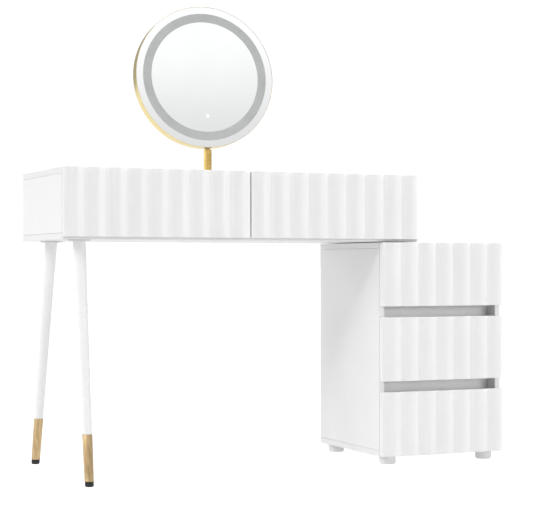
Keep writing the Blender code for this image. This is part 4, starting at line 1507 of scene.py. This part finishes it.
# %% [markdown]
# ## Screws
#
# Runners, leg plates, flange, feet and back cover are all held by pan-head screws with a
# cross recess. The head is made once, as a low mesh with a real recess. A tree then sets
# a copy on every point of a source mesh. Each point carries two values of its own: the
# way the head faces, and its size. One run makes all the screws of one body.

# %% One screw head
HEAD_R = 0.0035
HEAD_H = 0.0011
CROSS = 0.0018
SLIT = 0.00045
HEAD_STEPS = 24


def screw_head():
    """A pan head with a cross recess, standing on its seat at height 0."""
    bm = bmesh.new()
    turns = [2 * math.pi * i / HEAD_STEPS for i in range(HEAD_STEPS)]
    rings = []
    for share, up in ((1.0, 0.0), (1.0, 0.35), (0.82, 0.85), (0.64, 1.0)):
        r, z = HEAD_R * share, HEAD_H * up
        rings.append([bm.verts.new((r * math.cos(t), r * math.sin(t), z)) for t in turns])
    bm.faces.new(list(reversed(rings[0])))
    for lower, upper in zip(rings, rings[1:]):
        for i in range(HEAD_STEPS):
            j = (i + 1) % HEAD_STEPS
            bm.faces.new((lower[i], lower[j], upper[j], upper[i]))
    arm = [(CROSS, -SLIT), (CROSS, SLIT), (SLIT, SLIT)]
    cross = []
    for quarter in range(4):
        c, s = math.cos(quarter * math.pi / 2), math.sin(quarter * math.pi / 2)
        cross += [(x * c - y * s, x * s + y * c) for x, y in arm]
    mouth = [bm.verts.new((x, y, HEAD_H)) for x, y in cross]
    floor_ring = [bm.verts.new((x * 0.7, y * 0.7, HEAD_H * 0.25)) for x, y in cross]
    mouth_edges = [bm.edges.new((mouth[i], mouth[(i + 1) % 12])) for i in range(12)]
    rim_edges = [e for e in bm.edges if e.verts[0] in rings[-1] and e.verts[1] in rings[-1]]
    bmesh.ops.bridge_loops(bm, edges=mouth_edges + rim_edges)
    for i in range(12):
        j = (i + 1) % 12
        bm.faces.new((mouth[i], mouth[j], floor_ring[j], floor_ring[i]))
    bm.faces.new(floor_ring)
    bmesh.ops.recalc_face_normals(bm, faces=bm.faces)
    mesh = bpy.data.meshes.new("screw_head")
    bm.to_mesh(mesh)
    bm.free()
    mesh.shade_smooth()
    mesh.set_sharp_from_angle(angle=math.radians(35))
    return mesh


head_model = bpy.data.objects.new("screw_head", screw_head())
print("screw head has", len(head_model.data.polygons), "faces")

# %% The screw tree
screws, start, end = new_tree(
    "screws_on_points",
    {
        "Points": ("Geometry", None),
        "Screw": ("Object", None),
        "Finish": ("Material", None),
    },
)


def own_value(name, kind):
    """A value that each point of the source mesh carries."""
    kind_of_node = "GeometryNodeInputNamedAttribute"
    return node_out(screws, kind_of_node, {"Name": name}, data_type=kind)


facing_way = own_value("facing", "FLOAT_VECTOR")
head_size = own_value("size", "FLOAT")
upright = node_out(screws, "FunctionNodeAlignRotationToVector", {"Vector": facing_way}, axis="Z")
model = add_node(screws, "GeometryNodeObjectInfo", {"Object": start["Screw"]}).outputs["Geometry"]
inputs = {"Points": start["Points"], "Instance": model, "Rotation": upright, "Scale": head_size}
set_down = node_out(screws, "GeometryNodeInstanceOnPoints", inputs)
finish_tree(screws, set_down, start["Finish"], end)

for body, places in screw_places.items():
    if not places:
        continue
    source = points_mesh("screw_points", [spot for spot, _, _ in places])
    facing = source.attributes.new("facing", "FLOAT_VECTOR", "POINT")
    facing.data.foreach_set("vector", [v for _, way, _ in places for v in way])
    sizes = source.attributes.new("size", "FLOAT", "POINT")
    sizes.data.foreach_set("value", [size for _, _, size in places])
    mesh = run_tree(screws, {"Screw": head_model, "Finish": screw_zinc}, source)
    make_piece(body + "_screws", mesh, (), body, (), 35)
    print(body, len(places), "screws")

# %% [markdown]
# ## Floor
#
# The floor is a plain pale disc, wide enough to meet the white walls. It is lit from
# below, as a product studio's glass floor is, so shadows on it stay faint. The glow that
# the camera and shiny pieces see is brighter than what it casts on matt ones. The floor
# belongs to the stage and not to the table. A slight cloudiness keeps it from being one
# flat tone.

# %% Pale floor
FLOOR_R = 400.0
FLOOR_GLOW = 0.38
FLOOR_SEEN = 0.80
pale, tree, shader, here = new_finish("pale_floor", (0.45, 0.45, 0.45), 0.8)
shader.inputs["Specular IOR Level"].default_value = 0.1
cloudy = noise_of(tree, here, 0.8, 2.0)
tint(tree, shader, cloudy, (0.46, 0.46, 0.46), (0.44, 0.44, 0.44))
shader.inputs["Emission Color"].default_value = (1.0, 1.0, 1.0, 1.0)
rays = add_node(tree, "ShaderNodeLightPath").outputs
seen = sum_of(tree, "ADD", rays["Is Camera Ray"], rays["Is Glossy Ray"])
tree.links.new(spread(tree, seen, 0.0, 1.0, FLOOR_GLOW, FLOOR_SEEN), shader.inputs["Emission Strength"])
bm = bmesh.new()
bmesh.ops.create_circle(bm, cap_ends=True, radius=FLOOR_R, segments=96)
bmesh.ops.translate(bm, vec=(0, 0, -0.0002), verts=bm.verts)
mesh = bpy.data.meshes.new("floor")
bm.to_mesh(mesh)
bm.free()
mesh.materials.append(pale)
floor = bpy.data.objects.new("floor", mesh)
bpy.context.scene.collection.objects.link(floor)
floor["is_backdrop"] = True
print("floor", FLOOR_R * 2, "m across")

# %% [markdown]
# In a studio, black cards keep a lamp off whatever it would burn out. Here the lamps on
# the right are kept off the gold, so that it shows one bright stripe, left of its middle.
# The grazing lamp reaches only the fluted fronts, so the plain boards stay below white.
# A small lamp low in front reaches only the rails in the finger slots. Linking lamps to
# pieces is the simplest way to place such cards.


# %% Cards that keep lamps off some pieces
def aim_lamps(title, lamps, wanted, state):
    """Links lamps to the wanted pieces alone ("INCLUDE"), or to all but them ("EXCLUDE")."""
    group = bpy.data.collections.new(title)
    for piece in bpy.context.scene.objects:
        if piece.type == "MESH" and wanted(piece):
            group.objects.link(piece)
    for entry in group.collection_objects:
        entry.light_linking.link_state = state
    for name in lamps:
        bpy.data.objects[name].light_linking.receiver_collection = group


def is_gold(piece):
    return any(m and m.name.startswith("gold_") for m in piece.data.materials)


aim_lamps("kept_off_gold", ("right_front", "front_low"), is_gold, "EXCLUDE")
aim_lamps("grazed", ("right_grazing",), lambda piece: piece.name.endswith("_fluted_face"), "INCLUDE")
aim_lamps("in_the_slots", ("into_the_slots",), lambda piece: "pedestal_rail" in piece.name, "INCLUDE")

# %% [markdown]
# ## The last check
# The finished table's box is set beside the solid model's, and how much it has grown
# is printed. The finished table must fill the same box as the solid model. Both boxes
# are written down side by side, and the frame is then closed.

# %% Sizes
low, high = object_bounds()
sizes = {
    "cad": [list(cad_low), list(cad_high)],
    "visual": [list(low), list(high)],
}
print("grown by", [round((a - b) * 1000, 2) for a, b in zip(high - low, cad_high - cad_low)], "mm")
